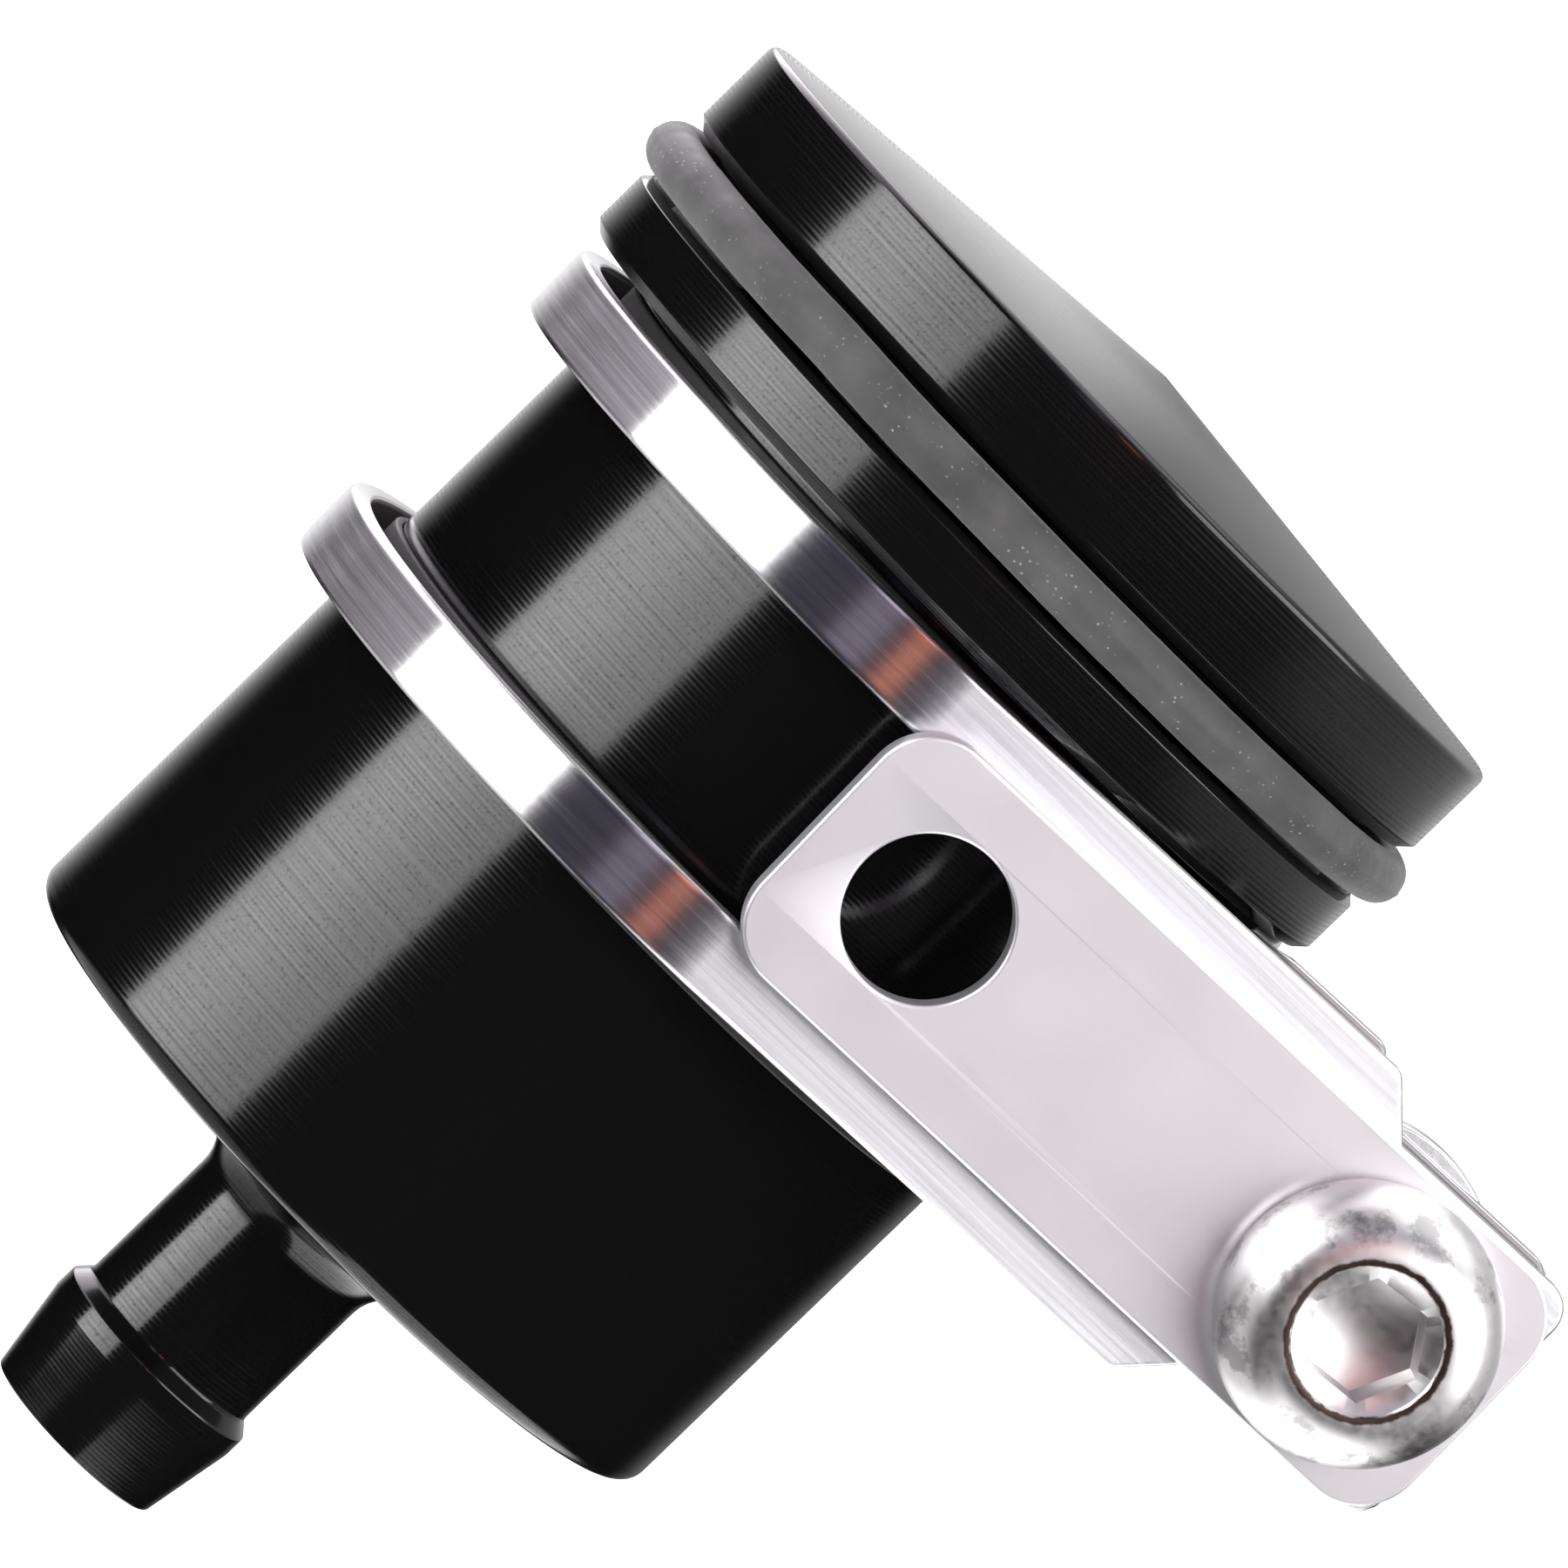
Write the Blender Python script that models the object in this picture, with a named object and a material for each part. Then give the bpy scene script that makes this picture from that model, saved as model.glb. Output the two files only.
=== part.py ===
"""Hydraulic fluid reservoir: a screw-capped cup held in a strip clamp on a mounting arm.

Metres, +Z up along the cup's axis. The origin is the centre of the arm's mounting hole, on the
arm's back face. The arm lies in the XZ plane and its front looks along -Y.
"""
import math

import bmesh
import bpy
from mathutils import Vector

MM = 0.001
FIT_GAP = 0.30 * MM             # clearance kept between neighbouring pieces
ROUND_STEPS = 40                # facets round the turned pieces
CORNER_STEPS = 5                # facets in a small rounded corner
FULL_TURN = 2 * math.pi

# Mounting arm; x and z from the centre of its mounting hole, along the arm
ARM_LEFT = -5.25 * MM
ARM_RIGHT = 27.1 * MM
ARM_WIDTH = 11.05 * MM
ARM_THICK = 1.2 * MM
ARM_CORNER = 2.5 * MM
MOUNTING_HOLE_R = 3.1 * MM
SCREW_REACH = 21.3 * MM
ARM_TILT = math.radians(2.0)    # the arm's free end hangs, seen against the cup
CLEARANCE_HOLE_R = 3.3 * MM
EDGE_BREAK = 0.15 * MM

# Where the cup stands relative to the mounting hole
CUP_AXIS_X = -4.34 * MM
CUP_AXIS_Y = 18.4 * MM
CUP_BASE_Z = -24.15 * MM

# Cup, heights above the cup's bottom face
BODY_R = 15.7 * MM
BODY_CORNER = 0.7 * MM
FLANGE_R = 18.8 * MM
FLANGE_BOTTOM_Z = 31.8 * MM
FLANGE_TOP_Z = 34.6 * MM
FLANGE_EDGE = 0.35 * MM
CAVITY_R = 12.3 * MM
CAVITY_CORNER = 2.0 * MM
FLOOR_Z = 3.0 * MM
SEAT_Z = 25.2 * MM
SEAT_WALL_R = 13.5 * MM
RELIEF_Z = 28.6 * MM

# Hose barb under the cup
OUTLET_R = 3.0 * MM
BARB_BOSS_R = 6.0 * MM
BARB_BOSS_Z = -1.2 * MM
BARB_FILLET = 1.8 * MM
BARB_NECK_R = 4.0 * MM
BARB_NECK_Z = -8.6 * MM
BARB_LIP_R = 4.5 * MM
BARB_LIP_TOP_Z = -9.2 * MM
BARB_LIP_END_Z = -10.0 * MM
BARB_END_R = 3.9 * MM
BARB_END_Z = -13.7 * MM

# Screw thread between cap and cup
THREAD_PITCH = 1.5 * MM
THREAD_START_Z = 29.3 * MM
THREAD_ROOT_HALF = 0.35 * MM
THREAD_CREST_HALF = 0.15 * MM
THREAD_DEPTH = 0.75 * MM
THREAD_SINK = 0.15 * MM         # how far a ridge roots into its wall
THREAD_STEPS = 24               # facets in one turn
PLUG_THREAD_TURNS = 3.0
CUP_THREAD_TURNS = 2.5
THREAD_WALL_R = 14.3 * MM

# Cap
CAP_R = 18.84 * MM
CAP_BOTTOM_Z = 37.1 * MM
CAP_RIM_Z = 41.2 * MM
CAP_APEX_Z = 43.0 * MM
CAP_EDGE = 0.45 * MM
SHOULDER_R = 17.2 * MM
PLUG_R = 13.2 * MM
PLUG_END_Z = 28.4 * MM
PLUG_BORE_R = 10.2 * MM
CAP_CEILING_Z = 38.6 * MM

# O-ring between cap and flange
SEAL_SECTION_R = 1.08 * MM
SEAL_CENTRE_R = 18.65 * MM
SEAL_CENTRE_Z = 35.85 * MM
SEAL_SECTION_STEPS = 12

# Diaphragm and slip ring under the cap's plug
DIAPHRAGM_WALL = 0.8 * MM
DIAPHRAGM_RIM_R = 13.2 * MM
DIAPHRAGM_RIM_THICK = 1.4 * MM
DIAPHRAGM_WIDE_R = 10.9 * MM
DIAPHRAGM_NARROW_R = 9.3 * MM
DIAPHRAGM_FOLDS = 3
DIAPHRAGM_FOLD_HEIGHT = 3.2 * MM
SLIP_RING_R = 13.2 * MM
SLIP_RING_BORE_R = 10.3 * MM

# Rubber liners between clamp and cup
LINER_INNER_R = 15.75 * MM
LINER_OUTER_R = 16.05 * MM
UPPER_LINER_Z = (28.2 * MM, 31.3 * MM)
LOWER_LINER_Z = (15.9 * MM, 19.0 * MM)

# Clamp strip; x and y from the cup's axis
STRIP_THICK = 1.0 * MM
STRIP_WIDTH = 15.1 * MM
STRIP_MID_R = 17.7 * MM
SLOT_WIDTH = 9.2 * MM
SLOT_CORNER = 2.0 * MM
SLOT_FRONT_END_X = 11.0 * MM
SLOT_REAR_END_Y = -8.6 * MM
EAR_WIDTH = 11.2 * MM
EAR_END_X = 32.0 * MM
EAR_CORNER = 1.2 * MM
EAR_SHOULDER_X = 20.9 * MM
FRONT_BEND_X = 16.4 * MM
FRONT_EAR_SET_BACK = 0.3 * MM
REAR_EAR_Y = -13.2 * MM
REAR_EAR_END_X = 31.8 * MM
REAR_BEND_R = 1.2 * MM
RING_END_ANGLE = math.radians(-15)
CLAMP_TILT = math.radians(1.2)
EAR_LIFT = math.tan(math.radians(1.3))  # how steeply the ears leave the ring's plane
RING_FACETS = 48
REACH = 30 * MM                 # half size of the tools that cut right through the clamp

# M6 button-head screw, washer and lock nut
SHANK_R = 2.9 * MM
SCREW_LENGTH = 16.0 * MM
SCREW_POINT = 0.6 * MM
HEAD_R = 5.25 * MM
HEAD_HEIGHT = 3.3 * MM
HEAD_EDGE = 0.6 * MM
HEAD_CROWN_R = 2.6 * MM
SOCKET_ACROSS_FLATS = 4.0 * MM
SOCKET_DEPTH = 2.1 * MM
SOCKET_TURN = math.radians(3)
WASHER_R = 6.0 * MM
WASHER_BORE_R = 3.25 * MM
WASHER_THICK = 1.2 * MM
NUT_ACROSS_FLATS = 10.0 * MM
NUT_HEX_HEIGHT = 4.9 * MM
NUT_COLLAR_R = 4.7 * MM
NUT_HEIGHT = 6.4 * MM
NUT_BORE_R = 3.1 * MM
INSERT_POCKET_R = 4.1 * MM
INSERT_R = 3.85 * MM
INSERT_HEIGHT = 1.3 * MM

# name: base colour, roughness, metallic
FINISHES = {
    "arm_steel": ((0.66, 0.65, 0.67), 0.32, 1.0),
    "clamp_steel": ((0.70, 0.69, 0.72), 0.12, 1.0),
    "screw_steel": ((0.62, 0.61, 0.62), 0.25, 1.0),
    "nut_steel": ((0.60, 0.60, 0.60), 0.35, 1.0),
    "nylon": ((0.10, 0.25, 0.60), 0.45, 0.0),
    "liner_rubber": ((0.02, 0.02, 0.02), 0.75, 0.0),
    "black_anodised": ((0.010, 0.010, 0.011), 0.22, 0.0),
    "seal_silicone": ((0.33, 0.33, 0.34), 0.45, 0.0),
    "diaphragm_rubber": ((0.03, 0.03, 0.03), 0.65, 0.0),
    "slip_ring_plastic": ((0.75, 0.75, 0.72), 0.40, 0.0),
}


def clear_scene():
    for old in list(bpy.data.objects):
        bpy.data.objects.remove(old, do_unlink=True)


def make_materials():
    materials = {}
    for name, (colour, roughness, metallic) in FINISHES.items():
        material = bpy.data.materials.new(name)
        material.use_nodes = True
        shader = material.node_tree.nodes["Principled BSDF"]
        shader.inputs["Base Color"].default_value = (*colour, 1.0)
        shader.inputs["Roughness"].default_value = roughness
        shader.inputs["Metallic"].default_value = metallic
        materials[name] = material
    return materials


# ---------------------------------------------------------------- shape helpers

def empty(name, location, parent=None, rotation=(0, 0, 0)):
    marker = bpy.data.objects.new(name, None)
    marker.location = location
    marker.rotation_euler = rotation
    marker.parent = parent
    bpy.context.collection.objects.link(marker)
    return marker


def finish_object(name, shape, material, parent, location=(0, 0, 0), rotation=(0, 0, 0)):
    """Turn a bmesh into a named object with clean outward faces."""
    bmesh.ops.remove_doubles(shape, verts=shape.verts, dist=1e-7)
    bmesh.ops.recalc_face_normals(shape, faces=shape.faces)
    mesh = bpy.data.meshes.new(name)
    shape.to_mesh(mesh)
    shape.free()
    mesh.shade_smooth()
    mesh.set_sharp_from_angle(angle=math.radians(30))
    if material:
        mesh.materials.append(material)
    piece = bpy.data.objects.new(name, mesh)
    piece.location = location
    piece.rotation_euler = rotation
    piece.parent = parent
    bpy.context.collection.objects.link(piece)
    return piece


def arc(centre, radius, start_deg, end_deg, steps=CORNER_STEPS):
    """Points on an arc, both ends included."""
    points = []
    for step in range(steps + 1):
        angle = math.radians(start_deg + (end_deg - start_deg) * step / steps)
        points.append((centre[0] + radius * math.cos(angle), centre[1] + radius * math.sin(angle)))
    return points


def rounded(corners, steps=CORNER_STEPS):
    """Closed outline from (x, y, radius) corners, each corner turned into an arc."""
    outline = []
    for index, (x, y, radius) in enumerate(corners):
        corner = Vector((x, y))
        if radius == 0:
            outline.append((x, y))
            continue
        back = (Vector(corners[index - 1][:2]) - corner).normalized()
        ahead = (Vector(corners[(index + 1) % len(corners)][:2]) - corner).normalized()
        half = back.angle(ahead) / 2
        centre = corner + (back + ahead).normalized() * radius / math.sin(half)
        first = corner + back * radius / math.tan(half) - centre
        last = corner + ahead * radius / math.tan(half) - centre
        start = math.atan2(first.y, first.x)
        sweep = math.remainder(math.atan2(last.y, last.x) - start, FULL_TURN)
        outline += arc(centre, radius, math.degrees(start), math.degrees(start + sweep), steps)
    return outline


def polygon(sides, radius, turn=0.0):
    return [(radius * math.cos(turn + FULL_TURN * side / sides),
             radius * math.sin(turn + FULL_TURN * side / sides)) for side in range(sides)]


def turned(name, profile, material, parent, steps=ROUND_STEPS, **place):
    """Spin a profile of (radius, height) points about Z; a profile off the axis is closed up."""
    shape = bmesh.new()
    verts = [shape.verts.new((radius, 0, height)) for radius, height in profile]
    edges = [shape.edges.new(pair) for pair in zip(verts, verts[1:])]
    if profile[0][0] > 0:
        edges.append(shape.edges.new((verts[-1], verts[0])))
    bmesh.ops.spin(shape, geom=verts + edges, cent=(0, 0, 0), axis=(0, 0, 1), angle=FULL_TURN,
                   steps=steps, use_merge=False)
    return finish_object(name, shape, material, parent, **place)


def prism(name, outline, low, high, to_3d, material, parent, **place):
    """Extrude a closed outline from low to high; to_3d places an outline point at a depth."""
    shape = bmesh.new()
    base = shape.faces.new([shape.verts.new(to_3d(point, low)) for point in outline])
    raised = bmesh.ops.extrude_face_region(shape, geom=[base])
    moved = [item for item in raised["geom"] if isinstance(item, bmesh.types.BMVert)]
    travel = Vector(to_3d((0, 0), high)) - Vector(to_3d((0, 0), low))
    bmesh.ops.translate(shape, vec=travel, verts=moved)
    return finish_object(name, shape, material, parent, **place)


def plan(point, depth):
    return (point[0], point[1], depth)


def front(point, depth):
    return (point[0], depth, point[1])


def side(point, depth):
    return (depth, point[0], point[1])


def combine(target, tool, operation):
    """Boolean with a tool that is not itself part of the object."""
    tool.hide_render = True
    tool.display_type = "WIRE"
    modifier = target.modifiers.new(tool.name, "BOOLEAN")
    modifier.operation = operation
    modifier.object = tool
    modifier.solver = "EXACT"


def thread_ridge(name, wall_r, outward, start_z, turns, parent):
    """Helical ridge of trapezoid section that stands outward (1) or inward (-1) of a wall."""
    section = (
        (-outward * THREAD_SINK, -THREAD_ROOT_HALF),
        (outward * THREAD_DEPTH, -THREAD_CREST_HALF),
        (outward * THREAD_DEPTH, THREAD_CREST_HALF),
        (-outward * THREAD_SINK, THREAD_ROOT_HALF),
    )
    shape = bmesh.new()
    stations = []
    for step in range(int(turns * THREAD_STEPS) + 1):
        angle = FULL_TURN * step / THREAD_STEPS
        height = start_z + THREAD_PITCH * step / THREAD_STEPS
        stations.append([shape.verts.new(((wall_r + reach) * math.cos(angle),
                                          (wall_r + reach) * math.sin(angle),
                                          height + rise)) for reach, rise in section])
    for lower, upper in zip(stations, stations[1:]):
        for corner in range(len(section)):
            following = (corner + 1) % len(section)
            shape.faces.new((lower[corner], lower[following], upper[following], upper[corner]))
    shape.faces.new(stations[0])
    shape.faces.new(stations[-1])
    return finish_object(name, shape, None, parent)


# ---------------------------------------------------------------- arm and clamp

def mounting_arm(material):
    half = ARM_WIDTH / 2
    outline = rounded([
        (ARM_LEFT, -half, ARM_CORNER),
        (ARM_RIGHT, -half, ARM_CORNER),
        (ARM_RIGHT, half, ARM_CORNER),
        (ARM_LEFT, half, ARM_CORNER),
    ])
    arm = prism("mounting_arm", outline, -ARM_THICK, 0, front, material, None,
                rotation=(0, -ARM_TILT, 0))
    for name, centre_x, radius in (("mounting_hole", 0, MOUNTING_HOLE_R),
                                   ("arm_screw_hole", SCREW_REACH, CLEARANCE_HOLE_R)):
        hole = prism(name, polygon(ROUND_STEPS // 2, radius), -REACH, REACH, front, None, arm,
                     location=(centre_x, 0, 0))
        combine(arm, hole, "DIFFERENCE")


def ring_point(angle):
    """Point on the strip's centreline ring, and the outward normal there."""
    normal = Vector((math.cos(angle), math.sin(angle)))
    return normal * STRIP_MID_R, normal


def strip_path():
    """Centreline of the bent strip seen from above, as (point, outward normal, lift)."""
    facing_front = Vector((0, -1))
    path = [
        (Vector((EAR_END_X, FRONT_EAR_SET_BACK - STRIP_MID_R)), facing_front, EAR_END_X * EAR_LIFT),
        (Vector((FRONT_BEND_X, -STRIP_MID_R)), facing_front, FRONT_BEND_X * EAR_LIFT),
    ]
    first_angle = math.radians(-90)
    last_angle = RING_END_ANGLE - FULL_TURN
    for step in range(RING_FACETS + 1):
        angle = first_angle + (last_angle - first_angle) * step / RING_FACETS
        path.append((*ring_point(angle), 0))
    leave, normal = ring_point(RING_END_ANGLE)
    heading = RING_END_ANGLE - math.radians(90)
    bend_centre_y = REAR_EAR_Y + REAR_BEND_R
    run = (leave.y - bend_centre_y + normal.y * REAR_BEND_R) / -math.sin(heading)
    bend_start = leave + run * Vector((math.cos(heading), math.sin(heading)))
    bend_centre = bend_start + normal * REAR_BEND_R
    for step in range(CORNER_STEPS + 1):
        turn = heading * (1 - step / CORNER_STEPS) + math.radians(90)
        bend_normal = Vector((math.cos(turn), math.sin(turn)))
        point = bend_centre - bend_normal * REAR_BEND_R
        path.append((point, bend_normal, point.x * EAR_LIFT * step / CORNER_STEPS))
    path.append((Vector((REAR_EAR_END_X, REAR_EAR_Y)), Vector((0, 1)), REAR_EAR_END_X * EAR_LIFT))
    return path


def bent_strip(material, clamp_frame):
    """Plain strip of full width, bent round the cup."""
    half = STRIP_WIDTH / 2
    shape = bmesh.new()
    stations = []
    for point, normal, lift in strip_path():
        outer = point + normal * STRIP_THICK / 2
        inner = point - normal * STRIP_THICK / 2
        stations.append([
            shape.verts.new((*outer, lift - half)),
            shape.verts.new((*outer, lift + half)),
            shape.verts.new((*inner, lift + half)),
            shape.verts.new((*inner, lift - half)),
        ])
    for first, second in zip(stations, stations[1:]):
        for corner in range(4):
            following = (corner + 1) % 4
            shape.faces.new((first[corner], first[following], second[following], second[corner]))
    shape.faces.new(stations[0])
    shape.faces.new(stations[-1])
    return finish_object("clamp_strip", shape, material, clamp_frame)


def clamp_strip(material, clamp_frame, screw_reach):
    """Strip bent round the cup, trimmed to its ears, slotted into two bands and drilled."""
    strip = bent_strip(material, clamp_frame)
    ear = EAR_WIDTH / 2
    wide = STRIP_WIDTH / 2 + 2 * FIT_GAP
    foot_x = EAR_SHOULDER_X + STRIP_WIDTH / 2 - ear
    shoulder_x = EAR_SHOULDER_X - 2 * FIT_GAP
    end_x = EAR_END_X - FIT_GAP / 2
    corners = [(-REACH, wide, 0), (0, wide, 0), (shoulder_x, wide, 0), (foot_x, ear, 0),
               (end_x, ear, EAR_CORNER)]
    upper = [(x, z + max(0, x) * EAR_LIFT, radius) for x, z, radius in corners]
    lower = [(x, -z + max(0, x) * EAR_LIFT, radius) for x, z, radius in corners]
    trim = prism("ear_trim", rounded(lower + upper[::-1]), -REACH, REACH, front, None, clamp_frame)
    combine(strip, trim, "INTERSECT")
    slot = SLOT_WIDTH / 2
    front_slot = prism("front_slot", rounded([
        (-REACH, -slot, 0),
        (SLOT_FRONT_END_X, -slot, SLOT_CORNER),
        (SLOT_FRONT_END_X, slot, SLOT_CORNER),
        (-REACH, slot, 0),
    ]), -REACH, REACH, front, None, clamp_frame)
    combine(strip, front_slot, "DIFFERENCE")
    rear_slot = prism("rear_slot", rounded([
        (REACH, -slot, 0),
        (SLOT_REAR_END_Y, -slot, SLOT_CORNER),
        (SLOT_REAR_END_Y, slot, SLOT_CORNER),
        (REACH, slot, 0),
    ]), SLOT_FRONT_END_X - 2 * SLOT_CORNER, REACH, side, None, clamp_frame)
    combine(strip, rear_slot, "DIFFERENCE")
    hole = prism("ear_hole", polygon(ROUND_STEPS // 2, CLEARANCE_HOLE_R), -REACH, REACH, front,
                 None, clamp_frame, location=(screw_reach, 0, screw_reach * EAR_LIFT))
    combine(strip, hole, "DIFFERENCE")


def across_flats_outline(across_flats, turn=0.0):
    return polygon(6, across_flats / math.sqrt(3), turn)


def clamp_screw(material, screw_axis, underside_y):
    """Button-head screw; its own +Z is the way the head looks."""
    crown_drop = HEAD_HEIGHT - HEAD_EDGE
    crown = []
    for step in range(CORNER_STEPS + 1):
        angle = math.radians(90) * (1 - step / CORNER_STEPS)
        crown.append((HEAD_CROWN_R + (HEAD_R - HEAD_CROWN_R) * math.cos(angle),
                      HEAD_EDGE + crown_drop * math.sin(angle)))
    profile = [(0, HEAD_HEIGHT)] + crown + [
        (HEAD_R - EDGE_BREAK, 0),
        (SHANK_R, 0),
        (SHANK_R, -SCREW_LENGTH + SCREW_POINT),
        (SHANK_R - SCREW_POINT, -SCREW_LENGTH),
        (0, -SCREW_LENGTH),
    ]
    facing_front = (math.radians(90), 0, 0)
    screw = turned("clamp_screw", profile, material, screw_axis, steps=ROUND_STEPS // 2,
                   location=(0, underside_y, 0), rotation=facing_front)
    socket = prism("hex_socket", across_flats_outline(SOCKET_ACROSS_FLATS, SOCKET_TURN),
                   HEAD_HEIGHT - SOCKET_DEPTH, HEAD_HEIGHT * 2, plan, None, screw_axis,
                   location=(0, underside_y, 0), rotation=facing_front)
    combine(screw, socket, "DIFFERENCE")


def rear_washer(material, screw_axis, near_y):
    profile = [(WASHER_BORE_R, 0), (WASHER_R, 0), (WASHER_R, WASHER_THICK),
               (WASHER_BORE_R, WASHER_THICK)]
    turned("rear_washer", profile, material, screw_axis, steps=ROUND_STEPS // 2,
           location=(0, near_y, 0), rotation=(math.radians(-90), 0, 0))


def lock_nut(material, screw_axis, near_y):
    """Hex nut with a round collar; its own +Z points away from the clamp."""
    place = {"location": (0, near_y, 0), "rotation": (math.radians(-90), 0, 0)}
    nut = prism("lock_nut", across_flats_outline(NUT_ACROSS_FLATS, math.radians(30)),
                0, NUT_HEX_HEIGHT, plan, material, screw_axis, **place)
    collar = turned("nut_collar", [
        (0, NUT_HEX_HEIGHT / 2),
        (NUT_COLLAR_R, NUT_HEX_HEIGHT / 2),
        (NUT_COLLAR_R, NUT_HEIGHT - EDGE_BREAK),
        (NUT_COLLAR_R - EDGE_BREAK, NUT_HEIGHT),
        (0, NUT_HEIGHT),
    ], None, screw_axis, steps=ROUND_STEPS // 2, **place)
    combine(nut, collar, "UNION")
    bore = turned("nut_bore", [
        (0, -FIT_GAP),
        (NUT_BORE_R, -FIT_GAP),
        (NUT_BORE_R, NUT_HEX_HEIGHT - FIT_GAP),
        (INSERT_POCKET_R, NUT_HEX_HEIGHT - FIT_GAP),
        (INSERT_POCKET_R, NUT_HEIGHT + FIT_GAP),
        (0, NUT_HEIGHT + FIT_GAP),
    ], None, screw_axis, steps=ROUND_STEPS // 2, **place)
    combine(nut, bore, "DIFFERENCE")


def nut_insert(material, screw_axis, near_y):
    top = NUT_HEX_HEIGHT + INSERT_HEIGHT
    profile = [(NUT_BORE_R, NUT_HEX_HEIGHT), (INSERT_R, NUT_HEX_HEIGHT), (INSERT_R, top),
               (NUT_BORE_R, top)]
    turned("nut_insert", profile, material, screw_axis, steps=ROUND_STEPS // 2,
           location=(0, near_y, 0), rotation=(math.radians(-90), 0, 0))


# ---------------------------------------------------------------- cup and cap

def liner(name, span_z, material, cup_frame):
    low, high = span_z
    turned(name, [(LINER_INNER_R, low), (LINER_OUTER_R, low), (LINER_OUTER_R, high),
                  (LINER_INNER_R, high)], material, cup_frame)


def cup_body(material, cup_frame):
    """Cup, flange and hose barb, turned in one piece, with the cap's thread inside the mouth."""
    outside = [
        (OUTLET_R, BARB_END_Z),
        (BARB_END_R, BARB_END_Z),
        (BARB_LIP_R, BARB_LIP_END_Z),
        (BARB_LIP_R, BARB_LIP_TOP_Z),
        (BARB_NECK_R, BARB_NECK_Z),
    ]
    outside += arc((BARB_NECK_R + BARB_FILLET, BARB_BOSS_Z - BARB_FILLET), BARB_FILLET, 180, 90, 3)
    outside += [(BARB_BOSS_R, BARB_BOSS_Z), (BARB_BOSS_R, 0)]
    outside += arc((BODY_R - BODY_CORNER, BODY_CORNER), BODY_CORNER, -90, 0, 3)
    outside += [
        (BODY_R, FLANGE_BOTTOM_Z),
        (FLANGE_R - FLANGE_EDGE, FLANGE_BOTTOM_Z),
        (FLANGE_R, FLANGE_BOTTOM_Z + FLANGE_EDGE),
        (FLANGE_R, FLANGE_TOP_Z - FLANGE_EDGE),
        (FLANGE_R - FLANGE_EDGE, FLANGE_TOP_Z),
    ]
    inside = [
        (THREAD_WALL_R, FLANGE_TOP_Z),
        (THREAD_WALL_R, RELIEF_Z),
        (SEAT_WALL_R, RELIEF_Z - FIT_GAP),
        (SEAT_WALL_R, SEAT_Z),
        (CAVITY_R, SEAT_Z),
    ]
    inside += arc((CAVITY_R - CAVITY_CORNER, FLOOR_Z + CAVITY_CORNER), CAVITY_CORNER, 0, -90, 3)
    inside += [(OUTLET_R, FLOOR_Z - FIT_GAP)]
    cup = turned("cup_body", outside + inside, material, cup_frame)
    ridge = thread_ridge("cup_thread", THREAD_WALL_R, -1, THREAD_START_Z + THREAD_PITCH / 2,
                         CUP_THREAD_TURNS, cup_frame)
    combine(cup, ridge, "UNION")


def diaphragm(material, cup_frame):
    """Rubber bellows: a rim that rests on the cup's seat and folds that hang into the fluid."""
    rim_low = SEAT_Z + FIT_GAP
    wall = [(DIAPHRAGM_WIDE_R, rim_low)]
    for fold in range(DIAPHRAGM_FOLDS):
        top = rim_low - fold * DIAPHRAGM_FOLD_HEIGHT
        wall.append((DIAPHRAGM_NARROW_R, top - DIAPHRAGM_FOLD_HEIGHT / 2))
        wall.append((DIAPHRAGM_WIDE_R, top - DIAPHRAGM_FOLD_HEIGHT))
    bottom = wall[-1][1] - DIAPHRAGM_FOLD_HEIGHT / 2
    outside = [(0, bottom), (DIAPHRAGM_NARROW_R, bottom)] + wall[::-1]
    rim = [(DIAPHRAGM_RIM_R, rim_low), (DIAPHRAGM_RIM_R, rim_low + DIAPHRAGM_RIM_THICK),
           (DIAPHRAGM_WIDE_R - DIAPHRAGM_WALL, rim_low + DIAPHRAGM_RIM_THICK)]
    inside = [(radius - DIAPHRAGM_WALL, height) for radius, height in wall[1:]]
    inside += [(DIAPHRAGM_NARROW_R - DIAPHRAGM_WALL, bottom + DIAPHRAGM_WALL),
               (0, bottom + DIAPHRAGM_WALL)]
    turned("diaphragm", outside + rim + inside, material, cup_frame, steps=ROUND_STEPS // 2)


def slip_ring(material, cup_frame):
    low = SEAT_Z + DIAPHRAGM_RIM_THICK + 2 * FIT_GAP
    high = PLUG_END_Z - FIT_GAP
    turned("slip_ring", [(SLIP_RING_BORE_R, low), (SLIP_RING_R, low), (SLIP_RING_R, high),
                         (SLIP_RING_BORE_R, high)], material, cup_frame)


def cap(material, cup_frame):
    """Cap with a shallow cone top, a shoulder that carries the O-ring and a threaded plug."""
    profile = [
        (0, CAP_CEILING_Z),
        (PLUG_BORE_R, CAP_CEILING_Z),
        (PLUG_BORE_R, PLUG_END_Z),
        (PLUG_R - EDGE_BREAK, PLUG_END_Z),
        (PLUG_R, PLUG_END_Z + EDGE_BREAK),
        (PLUG_R, FLANGE_TOP_Z + FIT_GAP),
        (SHOULDER_R, FLANGE_TOP_Z + FIT_GAP),
        (SHOULDER_R, CAP_BOTTOM_Z),
        (CAP_R - CAP_EDGE, CAP_BOTTOM_Z),
        (CAP_R, CAP_BOTTOM_Z + CAP_EDGE),
        (CAP_R, CAP_RIM_Z - CAP_EDGE),
        (CAP_R - CAP_EDGE, CAP_RIM_Z),
        (0, CAP_APEX_Z),
    ]
    lid = turned("cap", profile, material, cup_frame)
    ridge = thread_ridge("plug_thread", PLUG_R, 1, THREAD_START_Z, PLUG_THREAD_TURNS, cup_frame)
    combine(lid, ridge, "UNION")


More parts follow.
